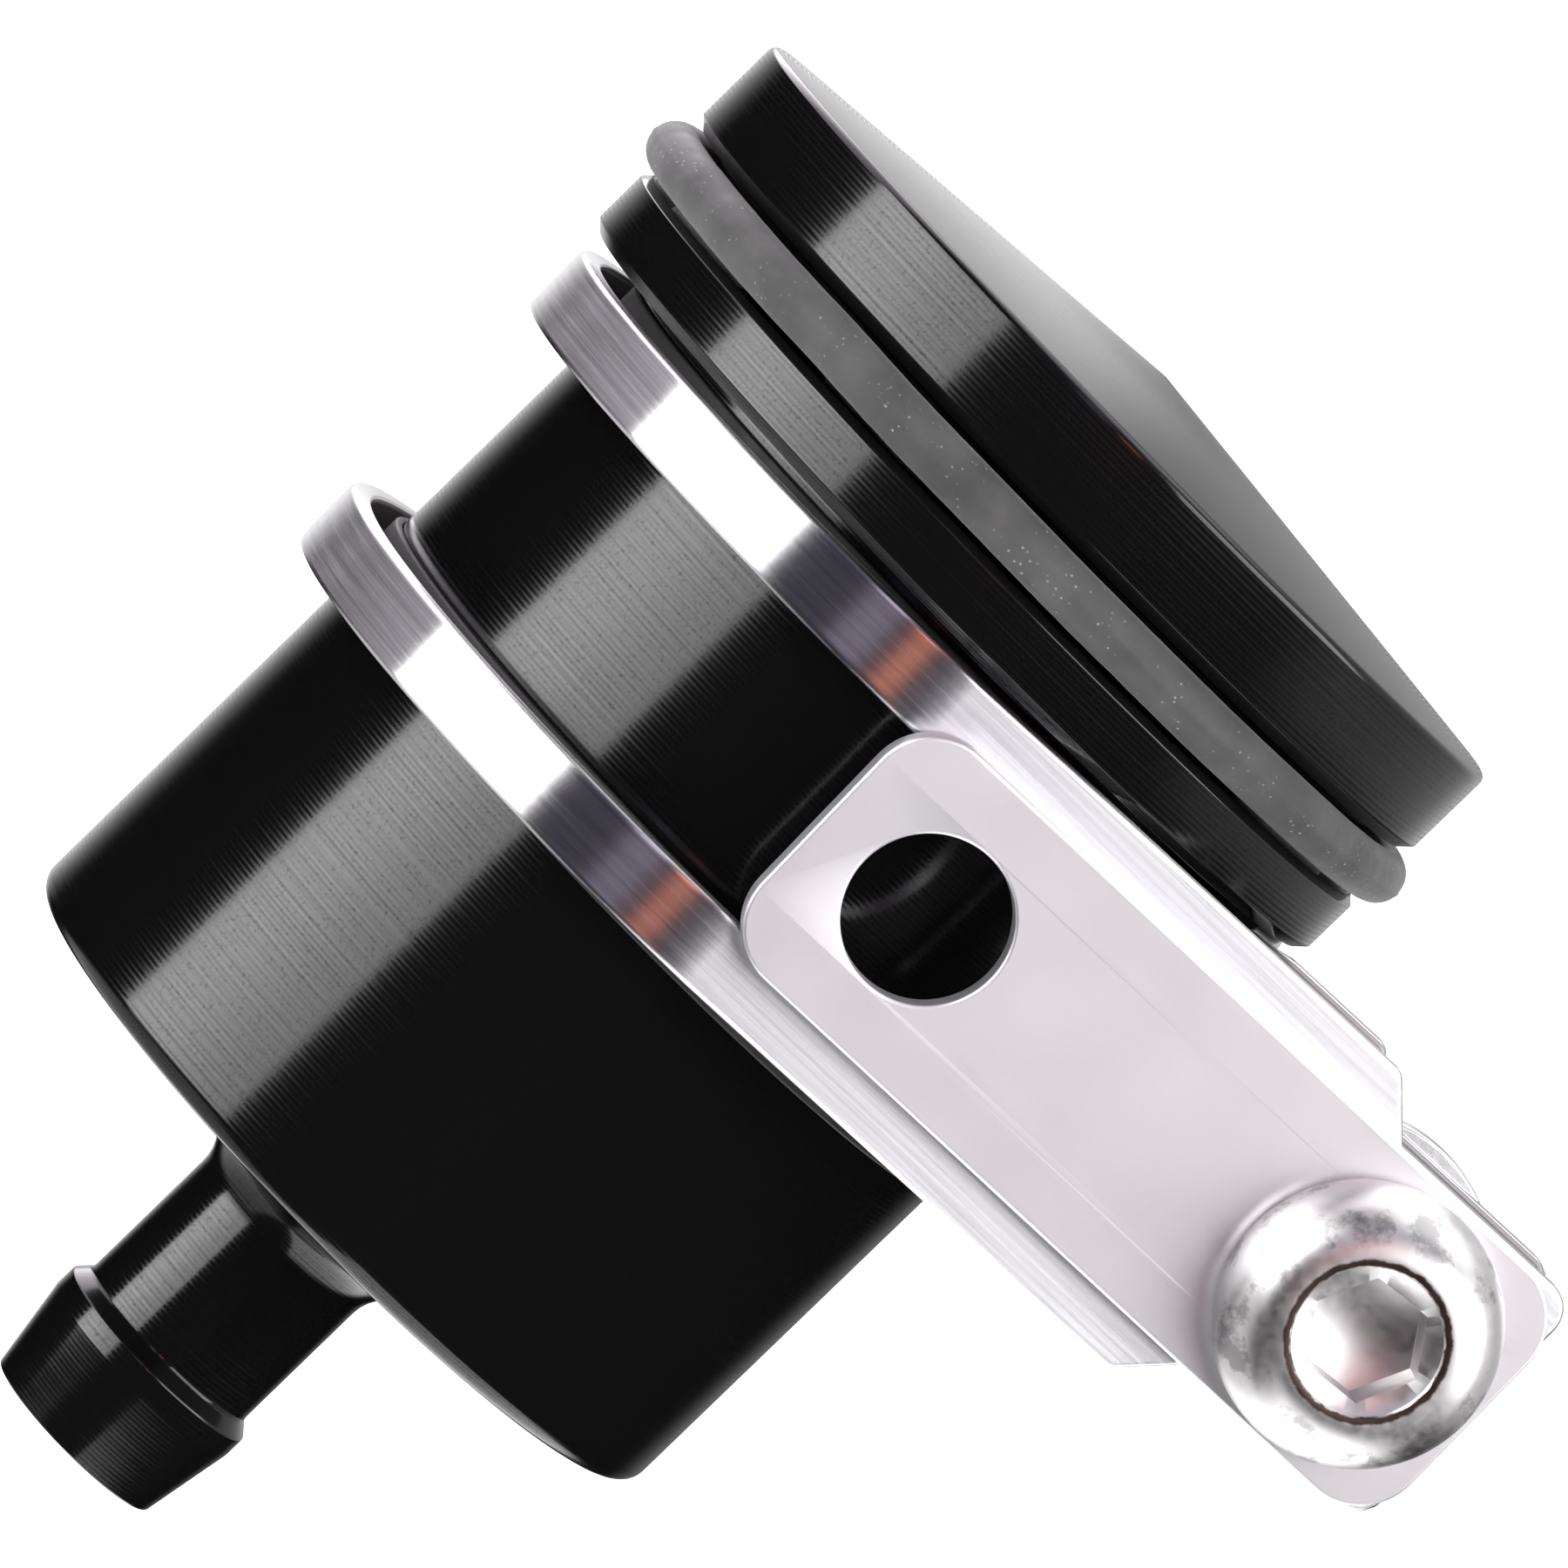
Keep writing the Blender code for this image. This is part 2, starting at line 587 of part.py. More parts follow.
def cap_o_ring(material, cup_frame):
    section = arc((SEAL_CENTRE_R, SEAL_CENTRE_Z), SEAL_SECTION_R, 0, 360, SEAL_SECTION_STEPS)
    turned("cap_o_ring", section[:-1], material, cup_frame)


def build():
    clear_scene()
    materials = make_materials()
    screw_x = SCREW_REACH * math.cos(ARM_TILT)
    screw_z = SCREW_REACH * math.sin(ARM_TILT)
    screw_axis = empty("screw_axis", (screw_x, 0, screw_z))
    along = math.cos(CLAMP_TILT) - EAR_LIFT * math.sin(CLAMP_TILT)
    upward = math.sin(CLAMP_TILT) + EAR_LIFT * math.cos(CLAMP_TILT)
    screw_reach = (screw_x - CUP_AXIS_X) / along
    ring_centre = (CUP_AXIS_X - screw_x, CUP_AXIS_Y, -screw_reach * upward)
    clamp_frame = empty("clamp_frame", ring_centre, screw_axis, (0, -CLAMP_TILT, 0))
    cup_frame = empty("cup_frame", (CUP_AXIS_X - screw_x, CUP_AXIS_Y, CUP_BASE_Z - screw_z),
                      screw_axis)

    mounting_arm(materials["arm_steel"])
    clamp_strip(materials["clamp_steel"], clamp_frame, screw_reach)
    clamp_screw(materials["screw_steel"], screw_axis, -ARM_THICK - FIT_GAP)
    washer_y = CUP_AXIS_Y + REAR_EAR_Y + STRIP_THICK / 2 + FIT_GAP
    rear_washer(materials["nut_steel"], screw_axis, washer_y)
    nut_y = washer_y + WASHER_THICK + FIT_GAP
    lock_nut(materials["nut_steel"], screw_axis, nut_y)
    nut_insert(materials["nylon"], screw_axis, nut_y)

    liner("upper_liner", UPPER_LINER_Z, materials["liner_rubber"], cup_frame)
    liner("lower_liner", LOWER_LINER_Z, materials["liner_rubber"], cup_frame)
    cup_body(materials["black_anodised"], cup_frame)
    diaphragm(materials["diaphragm_rubber"], cup_frame)
    slip_ring(materials["slip_ring_plastic"], cup_frame)
    cap_o_ring(materials["seal_silicone"], cup_frame)
    cap(materials["black_anodised"], cup_frame)


build()
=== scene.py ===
"""Looks of the hydraulic reservoir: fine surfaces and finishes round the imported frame.

Everything is in metres, in the frame of the CAD part: +Z up along the cup, the arm's front looks
along -Y. Places come from the boxes of the CAD nodes and from the named sizes in each section.
"""
import math

import bmesh
import bpy
from mathutils import Matrix, Vector, noise


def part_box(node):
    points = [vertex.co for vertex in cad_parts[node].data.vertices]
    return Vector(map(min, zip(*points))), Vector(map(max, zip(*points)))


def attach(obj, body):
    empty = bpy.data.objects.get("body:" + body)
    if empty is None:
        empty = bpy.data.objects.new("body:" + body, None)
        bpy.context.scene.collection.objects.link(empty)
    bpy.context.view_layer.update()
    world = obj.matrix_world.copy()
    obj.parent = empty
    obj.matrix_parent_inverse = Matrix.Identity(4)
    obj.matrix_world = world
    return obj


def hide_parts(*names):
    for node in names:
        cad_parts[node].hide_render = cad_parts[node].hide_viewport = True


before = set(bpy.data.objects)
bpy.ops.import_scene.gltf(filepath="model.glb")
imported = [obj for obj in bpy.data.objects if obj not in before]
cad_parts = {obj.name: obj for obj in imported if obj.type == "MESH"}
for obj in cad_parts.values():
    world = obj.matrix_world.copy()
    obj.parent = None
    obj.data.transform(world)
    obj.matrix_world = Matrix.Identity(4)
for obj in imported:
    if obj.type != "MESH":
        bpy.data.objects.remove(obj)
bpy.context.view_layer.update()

MM = 0.001
FULL_TURN = 2 * math.pi
ROUNDING = 1e-9  # metres; lengths below this count as zero
WELD = 1e-8  # metres; points closer than this are one point


# ================================================================ places from the frame

def box_centre(node):
    low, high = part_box(node)
    return (low + high) / 2


SEAL_LOW, SEAL_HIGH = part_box("cap_o_ring")
CUP_LOW, CUP_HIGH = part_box("cup_body")
CAP_LOW, CAP_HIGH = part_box("cap")
ARM_LOW, ARM_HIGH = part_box("mounting_arm")
SCREW_LOW, SCREW_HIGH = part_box("clamp_screw")
NUT_LOW, NUT_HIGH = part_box("lock_nut")
WASHER_LOW, WASHER_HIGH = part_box("rear_washer")
INSERT_LOW, INSERT_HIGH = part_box("nut_insert")

CUP_AXIS = box_centre("cup_body").xy
SCREW_AXIS = box_centre("clamp_screw")
FLANGE_TOP = CUP_HIGH.z

# Cup, with its flange and base placed below the flange's top face
FLANGE_R = (CUP_HIGH.x - CUP_LOW.x) / 2
FLANGE_BOTTOM = FLANGE_TOP - 2.8 * MM
CUP_BASE = FLANGE_TOP - 34.6 * MM
BODY_R = 15.7 * MM
BARB_END = CUP_LOW.z
NECK_R = 4.0 * MM
LIP_R = 4.5 * MM
BORE_R = 3.0 * MM

# Camera: the reservoir seen from its left front, nearly level and rolled
VIEW_AZIMUTH = math.radians(-11.0)
VIEW_PITCH = math.radians(4.63)
VIEW_ROLL = math.radians(45.91)
VIEW_DISTANCE = 404.3 * MM
VIEW_AIM_HEIGHT = CUP_BASE + 22.35 * MM
VIEW_AIM_RIGHT = 1.0 * MM
LENS = 250.6
SENSOR = 36.0


# ================================================================ shape helpers

def arc(centre, radius, start_deg, end_deg, steps=6):
    """Points on an arc, both ends included."""
    points = []
    for step in range(steps + 1):
        angle = math.radians(start_deg + (end_deg - start_deg) * step / steps)
        points.append((centre[0] + radius * math.cos(angle), centre[1] + radius * math.sin(angle)))
    return points


def softened(corners, closed=True, steps=5):
    """Outline from (x, y, radius) corners, each corner turned into an arc of its radius."""
    outline = []
    last = len(corners) - 1
    for index, (x, y, radius) in enumerate(corners):
        is_end = not closed and index in (0, last)
        if radius == 0 or is_end:
            outline.append((x, y))
            continue
        corner = Vector((x, y))
        back = (Vector(corners[index - 1][:2]) - corner).normalized()
        ahead = (Vector(corners[(index + 1) % len(corners)][:2]) - corner).normalized()
        half = back.angle(ahead) / 2
        centre = corner + (back + ahead).normalized() * radius / math.sin(half)
        first = corner + back * radius / math.tan(half) - centre
        final = corner + ahead * radius / math.tan(half) - centre
        start = math.atan2(first.y, first.x)
        sweep = math.remainder(math.atan2(final.y, final.x) - start, FULL_TURN)
        outline += arc(centre, radius, math.degrees(start), math.degrees(start + sweep), steps)
    return outline


def circle(centre, radius, steps=64):
    return [(centre[0] + radius * math.cos(FULL_TURN * step / steps),
             centre[1] + radius * math.sin(FULL_TURN * step / steps)) for step in range(steps)]


def add_piece(name, shape, material, location=(0, 0, 0), rotation=(0, 0, 0), sharp_deg=35):
    """Object from a bmesh: outward faces, smooth shading with crisp edges."""
    bmesh.ops.remove_doubles(shape, verts=shape.verts, dist=WELD)
    bmesh.ops.recalc_face_normals(shape, faces=shape.faces)
    mesh = bpy.data.meshes.new(name)
    shape.to_mesh(mesh)
    shape.free()
    mesh.shade_smooth()
    mesh.set_sharp_from_angle(angle=math.radians(sharp_deg))
    mesh.materials.append(material)
    piece = bpy.data.objects.new(name, mesh)
    piece.location = location
    piece.rotation_euler = rotation
    bpy.context.scene.collection.objects.link(piece)
    return piece


def flatten_faces(piece):
    """Large flat faces keep their own normals next to rounded edges."""
    modifier = piece.modifiers.new("flat_faces", "WEIGHTED_NORMAL")
    modifier.mode = "FACE_AREA"
    modifier.weight = 100
    modifier.keep_sharp = True


def settle(piece, body, slot, *nodes):
    """The piece rides on a body and stands for CAD nodes, which are hidden; the slot is not used."""
    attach(piece, body)
    if nodes:
        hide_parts(*nodes)
    return piece


def revolve(name, profile, material, steps=256, **place):
    """Turned surface from (radius, height) points; closed to a ring if it misses the axis."""
    shape = bmesh.new()
    rings = []
    for radius, height in profile:
        if radius < ROUNDING:
            rings.append([shape.verts.new((0, 0, height))])
        else:
            rings.append([shape.verts.new((x, y, height)) for x, y in circle((0, 0), radius, steps)])
    pairs = list(zip(rings, rings[1:]))
    if len(rings[0]) > 1:
        pairs.append((rings[-1], rings[0]))
    for first, second in pairs:
        for step in range(steps):
            after = (step + 1) % steps
            if len(first) == 1:
                shape.faces.new((first[0], second[after], second[step]))
            elif len(second) == 1:
                shape.faces.new((first[step], first[after], second[0]))
            else:
                shape.faces.new((first[step], first[after], second[after], second[step]))
    return add_piece(name, shape, material, **place)


def band_section(inner, outer, low, high, edges):
    """Rectangle to turn into a band; edges are its corner radii, from inner low to inner high."""
    corners = ((inner, low), (outer, low), (outer, high), (inner, high))
    return softened([(x, y, edge) for (x, y), edge in zip(corners, edges)])


def plate_shape(outlines, thickness, edge):
    """Flat plate with holes and rounded edges, as a bmesh in its own XY plane, z centred."""
    curve = bpy.data.curves.new("plate_outline", "CURVE")
    curve.dimensions = "2D"
    curve.fill_mode = "BOTH"
    curve.extrude = thickness / 2 - edge
    curve.bevel_depth = edge
    curve.bevel_resolution = 3
    curve.offset = -edge
    for outline in outlines:
        spline = curve.splines.new("POLY")
        spline.points.add(len(outline) - 1)
        for point, (x, y) in zip(spline.points, outline):
            point.co = (x, y, 0, 1)
        spline.use_cyclic_u = True
    holder = bpy.data.objects.new("plate_outline", curve)
    bpy.context.scene.collection.objects.link(holder)
    graph = bpy.context.evaluated_depsgraph_get()
    mesh = bpy.data.meshes.new_from_object(holder.evaluated_get(graph))
    shape = bmesh.new()
    shape.from_mesh(mesh)
    bpy.data.objects.remove(holder)
    bpy.data.curves.remove(curve)
    bpy.data.meshes.remove(mesh)
    bmesh.ops.remove_doubles(shape, verts=shape.verts, dist=10 * WELD)
    return shape


def helix_ridge(name, wall_r, outward, start_z, turns, pitch, depth, material, steps=96, **place):
    """Thread ridge of rounded trapezoid section round a wall, thinning out at both ends."""
    sink = 0.1 * MM
    # (height, place) points: height is a share of the depth, or a length where the feet are sunk
    # into the wall, and place is a share of the pitch
    section = [(-sink, -0.36), (0.0, -0.33), (0.72, -0.17), (0.92, -0.10), (1.0, 0.0),
               (0.92, 0.10), (0.72, 0.17), (0.0, 0.33), (-sink, 0.36)]
    shape = bmesh.new()
    stations = []
    count = int(turns * steps)
    run_out = steps / 8
    for step in range(count + 1):
        angle = FULL_TURN * step / steps
        fade = min(1.0, step / run_out, (count - step) / run_out)
        centre = start_z + pitch * step / steps
        station = []
        for height, along in section:
            reach = height if height < 0 else height * depth * fade
            radius = wall_r + outward * reach
            station.append(shape.verts.new((radius * math.cos(angle), radius * math.sin(angle),
                                            centre + along * pitch)))
        stations.append(station)
    for lower, upper in zip(stations, stations[1:]):
        for corner in range(len(section)):
            following = (corner + 1) % len(section)
            shape.faces.new((lower[corner], lower[following], upper[following], upper[corner]))
    shape.faces.new(stations[0])
    shape.faces.new(stations[-1])
    return add_piece(name, shape, material, sharp_deg=60, **place)


# ================================================================ finishes

def feed(tree, socket, value):
    """Give a socket its value, or a link where the value comes from another node."""
    if isinstance(value, bpy.types.NodeSocket):
        tree.links.new(value, socket)
    else:
        socket.default_value = value


def math_node(tree, operation, *values):
    made = tree.nodes.new("ShaderNodeMath")
    made.operation = operation
    for socket, value in zip(made.inputs, values):
        feed(tree, socket, value)
    return made.outputs[0]


def darker(colour, share):
    return tuple(share * part for part in colour)


class Finish:
    """A Principled material with a short way to add and join its nodes."""

    def __init__(self, name, colour, roughness, metallic=0.0, **sockets):
        self.material = bpy.data.materials.new(name)
        self.material.use_nodes = True
        self.tree = self.material.node_tree
        self.shader = self.tree.nodes["Principled BSDF"]
        self.shader.inputs["Base Color"].default_value = (*colour, 1.0)
        self.shader.inputs["Roughness"].default_value = roughness
        self.shader.inputs["Metallic"].default_value = metallic
        for socket, value in sockets.items():
            self.shader.inputs[socket.replace("_", " ")].default_value = value

    def node(self, kind, settings=None, **inputs):
        made = self.tree.nodes.new(kind)
        for attribute, value in (settings or {}).items():
            setattr(made, attribute, value)
        for socket, value in inputs.items():
            feed(self.tree, made.inputs[socket.replace("_", " ")], value)
        return made

    def math(self, operation, *values):
        return math_node(self.tree, operation, *values)

    def position(self):
        return self.node("ShaderNodeTexCoord").outputs["Object"]

    def radius_and_height(self):
        """Distance from the piece's own Z axis, and the height along it."""
        x, y, height = self.node("ShaderNodeSeparateXYZ", Vector=self.position()).outputs
        flat = self.node("ShaderNodeCombineXYZ", X=x, Y=y).outputs[0]
        radius = self.node("ShaderNodeVectorMath", {"operation": "LENGTH"}, Vector=flat)
        return radius.outputs["Value"], height

    def stretched(self, scale):
        """Object position scaled apart along each axis."""
        return self.node("ShaderNodeMapping", Vector=self.position(), Scale=scale).outputs[0]

    def noise(self, vector, scale, detail=3.0, roughness=0.5):
        return self.node("ShaderNodeTexNoise", Vector=vector, Scale=scale, Detail=detail,
                         Roughness=roughness).outputs["Fac"]

    def span(self, value, low, high, to_low, to_high):
        """Value from low..high mapped to to_low..to_high and held there."""
        made = self.node("ShaderNodeMapRange", Value=value)
        made.inputs["From Min"].default_value = low
        made.inputs["From Max"].default_value = high
        made.inputs["To Min"].default_value = to_low
        made.inputs["To Max"].default_value = to_high
        return made.outputs[0]

    def blend(self, factor, first, second):
        """Colour between two colours, each a plain (r, g, b) or a socket."""
        made = self.node("ShaderNodeMix", {"data_type": "RGBA"})
        self.tree.links.new(factor, made.inputs[0])
        for target, value in zip((made.inputs[6], made.inputs[7]), (first, second)):
            plain = isinstance(value, tuple)
            feed(self.tree, target, (*value, 1.0) if plain else value)
        return made.outputs[2]

    def bump(self, height, distance, normal=None):
        """Surface normal bent by a height counted in distances, on top of another bump's normal."""
        made = self.node("ShaderNodeBump", Height=height, Distance=distance, Strength=1.0)
        if normal is not None:
            self.tree.links.new(normal, made.inputs["Normal"])
        return made.outputs[0]

    def use(self, **sockets):
        for socket, value in sockets.items():
            self.tree.links.new(value, self.shader.inputs[socket.replace("_", " ")])
        return self.material


def turning_lines(finish, pitch, wander):
    """Lathe lines along Z on walls and along the radius on faces: an even wave and a noise."""
    radius, height = finish.radius_and_height()
    along = finish.math("ADD", height, radius)
    wave = finish.math("SINE", finish.math("MULTIPLY", along, FULL_TURN / pitch))
    single = finish.node("ShaderNodeCombineXYZ", X=along).outputs[0]
    return wave, finish.noise(single, wander, detail=4.0)


def black_anodised():
    """Turned aluminium, anodised black: fine lathe lines under a thin clear oxide."""
    finish = Finish("black_anodised", (0.003, 0.003, 0.0031), 0.10, IOR=1.5)
    wave, uneven = turning_lines(finish, pitch=0.2 * MM, wander=6000.0)
    lines = finish.math("ADD", finish.math("MULTIPLY", wave, 0.5), uneven)
    grain = finish.noise(finish.position(), 6500.0, detail=2.0)
    relief = finish.bump(lines, 0.0008 * MM)
    relief = finish.bump(grain, 0.0009 * MM, normal=relief)
    ridge = finish.span(wave, -1.0, 1.0, 0.0, 0.09)
    rough = finish.math("ADD", ridge, finish.span(uneven, 0.35, 0.65, 0.07, 0.13))
    pits = finish.span(finish.noise(finish.position(), 7000.0, detail=3.0), 0.56, 0.68, 0.0, 0.14)
    sheen = finish.math("ADD", finish.span(uneven, 0.35, 0.65, 0.36, 0.58),
                        finish.math("MULTIPLY", wave, 0.07))
    return finish.use(Normal=relief, Roughness=rough,
                      Specular_IOR_Level=finish.math("SUBTRACT", sheen, pits))


def brushed_steel(name, colour, roughness, scale, depth):
    """Stainless with fine brushing; scale stretches the grain along its direction."""
    finish = Finish(name, colour, roughness, 1.0)
    grain = finish.noise(finish.stretched(scale), 1.0, detail=4.0, roughness=0.6)
    cloud = finish.noise(finish.position(), 300.0, detail=3.0)
    specks = finish.noise(finish.position(), 2600.0, detail=2.0)
    tint = finish.blend(finish.span(cloud, 0.35, 0.65, 0.0, 1.0), colour, darker(colour, 0.97))
    relief = finish.bump(grain, depth)
    relief = finish.bump(specks, depth * 0.4, normal=relief)
    rough = finish.span(cloud, 0.3, 0.7, roughness * 0.94, roughness * 1.06)
    return finish.use(Normal=relief, Roughness=rough, Base_Color=tint)


def drawn_steel():
    """Strip steel drawn along its length: mirror-like along the grain, wide across it."""
    colour = (0.80, 0.785, 0.82)
    finish = Finish("clamp_steel", colour, 0.25, 1.0, Anisotropic=1.0, Anisotropic_Rotation=0.25)
    around = finish.node("ShaderNodeTangent", {"direction_type": "RADIAL", "axis": "Z"}).outputs[0]
    grain = finish.noise(finish.stretched((110.0, 110.0, 9000.0)), 1.0, detail=4.0, roughness=0.6)
    scratch = finish.noise(finish.stretched((60.0, 60.0, 4200.0)), 1.0, detail=2.0)
    tint = finish.blend(finish.span(scratch, 0.42, 0.6, 0.0, 1.0), colour, darker(colour, 0.9))
    relief = finish.bump(grain, 0.002 * MM)
    rough = finish.span(grain, 0.3, 0.7, 0.22, 0.28)
    return finish.use(Normal=relief, Roughness=rough, Base_Color=tint, Tangent=around)


def head_steel():
    """Screw head steel, stained on the lip round the socket and in patches on the crown."""
    colour = (0.74, 0.715, 0.72)
    finish = Finish("screw_head_steel", colour, 0.38, 1.0)
    position = finish.position()
    radius = finish.radius_and_height()[0]
    grain = finish.noise(position, 2600.0, detail=4.0)
    wander = finish.math("ADD", radius, finish.span(grain, 0.3, 0.7, -0.045 * MM, 0.045 * MM))
    lip = finish.math("MULTIPLY", finish.span(wander, 2.74 * MM, 2.80 * MM, 0.0, 1.0),
                      finish.span(wander, 2.98 * MM, 3.06 * MM, 1.0, 0.0))
    patch = finish.noise(position, 420.0, detail=5.0, roughness=0.7)
    crown = finish.math("MULTIPLY", finish.span(patch, 0.54, 0.62, 0.0, 0.6),
                        finish.span(radius, 3.3 * MM, 3.7 * MM, 0.0, 1.0))
    stained = finish.blend(crown, colour, (0.20, 0.20, 0.21))
    stained = finish.blend(lip, stained, (0.10, 0.07, 0.06))
    relief = finish.bump(finish.noise(position, 900.0, detail=4.0), 0.004 * MM)
    rough = finish.span(grain, 0.3, 0.7, 0.33, 0.42)
    return finish.use(Normal=relief, Roughness=rough, Base_Color=stained)


def silicone():
    """Grey translucent silicone with dust specks and a slightly uneven skin."""
    finish = Finish("seal_silicone", (0.05, 0.05, 0.05), 0.6, IOR=1.4, Subsurface_Weight=0.1,
                    Subsurface_Radius=(0.9, 0.9, 0.9), Subsurface_Scale=0.6 * MM,
                    Sheen_Weight=0.25, Sheen_Roughness=0.4)
    position = finish.position()
    cloud = finish.noise(position, 420.0, detail=4.0)
    dust = finish.node("ShaderNodeTexVoronoi", Vector=position, Scale=3600.0).outputs["Distance"]
    patches = finish.noise(position, 900.0, detail=3.0)
    speck = finish.math("MULTIPLY", finish.span(dust, 0.10, 0.22, 1.0, 0.0),
                        finish.span(patches, 0.48, 0.62, 0.0, 1.0))
    base = finish.blend(finish.span(cloud, 0.3, 0.7, 0.0, 1.0), (0.045, 0.045, 0.045),
                        (0.08, 0.08, 0.08))
    colour = finish.blend(finish.math("MULTIPLY", speck, 0.55), base, (0.5, 0.5, 0.5))
    relief = finish.bump(cloud, 0.02 * MM)
    relief = finish.bump(patches, 0.006 * MM, normal=relief)
    rough = finish.span(patches, 0.3, 0.7, 0.52, 0.72)
    return finish.use(Base_Color=colour, Normal=relief, Roughness=rough)


def rubber(name, shade):
    colour = (shade, shade, shade)
    finish = Finish(name, colour, 0.62)
    position = finish.position()
    grain = finish.noise(position, 5200.0, detail=4.0)
    cloud = finish.noise(position, 500.0, detail=3.0)
    dusty = (1.7 * shade, 1.7 * shade, 1.7 * shade)
    mixed = finish.blend(finish.span(cloud, 0.3, 0.7, 0.0, 1.0), colour, dusty)
    relief = finish.bump(grain, 0.012 * MM)
    rough = finish.span(cloud, 0.3, 0.7, 0.5, 0.72)
    return finish.use(Base_Color=mixed, Normal=relief, Roughness=rough)


def plastic(name, colour):
    finish = Finish(name, colour, 0.4)
    position = finish.position()
    cloud = finish.noise(position, 700.0, detail=3.0)
    grain = finish.noise(position, 4200.0, detail=3.0)
    mixed = finish.blend(finish.span(cloud, 0.3, 0.7, 0.0, 1.0), colour, darker(colour, 0.86))
    relief = finish.bump(grain, 0.006 * MM)
    rough = finish.span(cloud, 0.3, 0.7, 0.32, 0.5)
    return finish.use(Base_Color=mixed, Normal=relief, Roughness=rough)


ANODISED = black_anodised()
ARM_STEEL = brushed_steel("arm_steel", (0.92, 0.905, 0.94), roughness=0.5,
                          scale=(90.0, 600.0, 2600.0), depth=0.003 * MM)
CLAMP_STEEL = drawn_steel()
SCREW_STEEL = brushed_steel("screw_steel", (0.74, 0.715, 0.72), roughness=0.38,
                            scale=(900.0, 900.0, 900.0), depth=0.004 * MM)
HEAD_STEEL = head_steel()
# Darker steel for the strip's inner face: its darkness is painted shade.
CLAMP_SHADED_INSIDE = brushed_steel("clamp_inside_painted_shade", (0.30, 0.28, 0.285), roughness=0.5,
                             scale=(110.0, 110.0, 3000.0), depth=0.004 * MM)
NUT_STEEL = brushed_steel("nut_steel", (0.68, 0.68, 0.69), roughness=0.26,
                          scale=(1500.0, 1500.0, 1500.0), depth=0.006 * MM)
SILICONE = silicone()
LINER_RUBBER = rubber("liner_rubber", 0.018)
DIAPHRAGM_RUBBER = rubber("diaphragm_rubber", 0.028)
NYLON = plastic("nylon", (0.09, 0.22, 0.55))
ACETAL = plastic("slip_ring_plastic", (0.75, 0.75, 0.71))


# ================================================================ arm, strip and fasteners

ARM_LEFT = -5.25 * MM
ARM_RIGHT = 27.1 * MM
ARM_HALF_WIDTH = 5.52 * MM
ARM_CORNER_R = 2.5 * MM
ARM_EDGE = 0.14 * MM
MOUNTING_HOLE_R = 3.1 * MM
SCREW_HOLE_R = 3.3 * MM


def rectangle(left, right, half_width, corner_r, steps=5):
    """Outline round the X axis with rounded corners."""
    return softened([(left, -half_width, corner_r), (right, -half_width, corner_r),
                     (right, half_width, corner_r), (left, half_width, corner_r)], steps=steps)


def mounting_arm():
    """Flat bar with rounded ends and edges and two holes, tilted about the mounting hole."""
    tilt = math.atan2(SCREW_AXIS.z, SCREW_AXIS.x)
    screw_reach = math.hypot(SCREW_AXIS.x, SCREW_AXIS.z)
    outline = rectangle(ARM_LEFT, ARM_RIGHT, ARM_HALF_WIDTH, ARM_CORNER_R, steps=16)
    holes = [circle((0, 0), MOUNTING_HOLE_R, 96), circle((screw_reach, 0), SCREW_HOLE_R, 64)]
    shape = plate_shape([outline] + holes, ARM_HIGH.y - ARM_LOW.y, ARM_EDGE)
    stand_up = Matrix.Rotation(math.radians(90), 4, "X")
    bmesh.ops.transform(shape, matrix=stand_up, verts=shape.verts)
    arm = add_piece("arm_plate", shape, ARM_STEEL, rotation=(0, -tilt, 0),
                    location=(0, (ARM_LOW.y + ARM_HIGH.y) / 2, 0))
    flatten_faces(arm)
    settle(arm, "arm", "arm_steel", "mounting_arm")


STRIP_THICK = 1.0 * MM
STRIP_WIDTH = 15.0 * MM
STRIP_MID_R = 17.7 * MM
STRIP_EDGE = 0.2 * MM
CLAMP_TILT = math.radians(1.2)
EAR_LIFT = math.tan(math.radians(1.3))  # how steeply the ears leave the ring's plane
EAR_END_X = 31.7 * MM
REAR_EAR_END_X = 31.65 * MM
EAR_FOOT_X = 22.85 * MM
EAR_HALF_WIDTH = 5.55 * MM
EAR_CORNER_R = 1.2 * MM
EAR_FOOT_R = 0.3 * MM
SHOULDER_R = 0.6 * MM
SLOT_HALF_WIDTH = 4.6 * MM
SLOT_CORNER_R = 2.0 * MM
SLOT_START_X = 11.0 * MM
SLOT_PAST_RING = 4.1 * MM  # how far the slot runs on along the strip's rear flat
REAR_EAR_Y = -13.2 * MM
REAR_BEND_R = 1.2 * MM
RING_END_ANGLE = math.radians(-15)
FRONT_BEND_X = 16.4 * MM
FRONT_EAR_SET_BACK = 0.3 * MM
RING_STEP = math.radians(1.25)
BEND_STEPS = 12


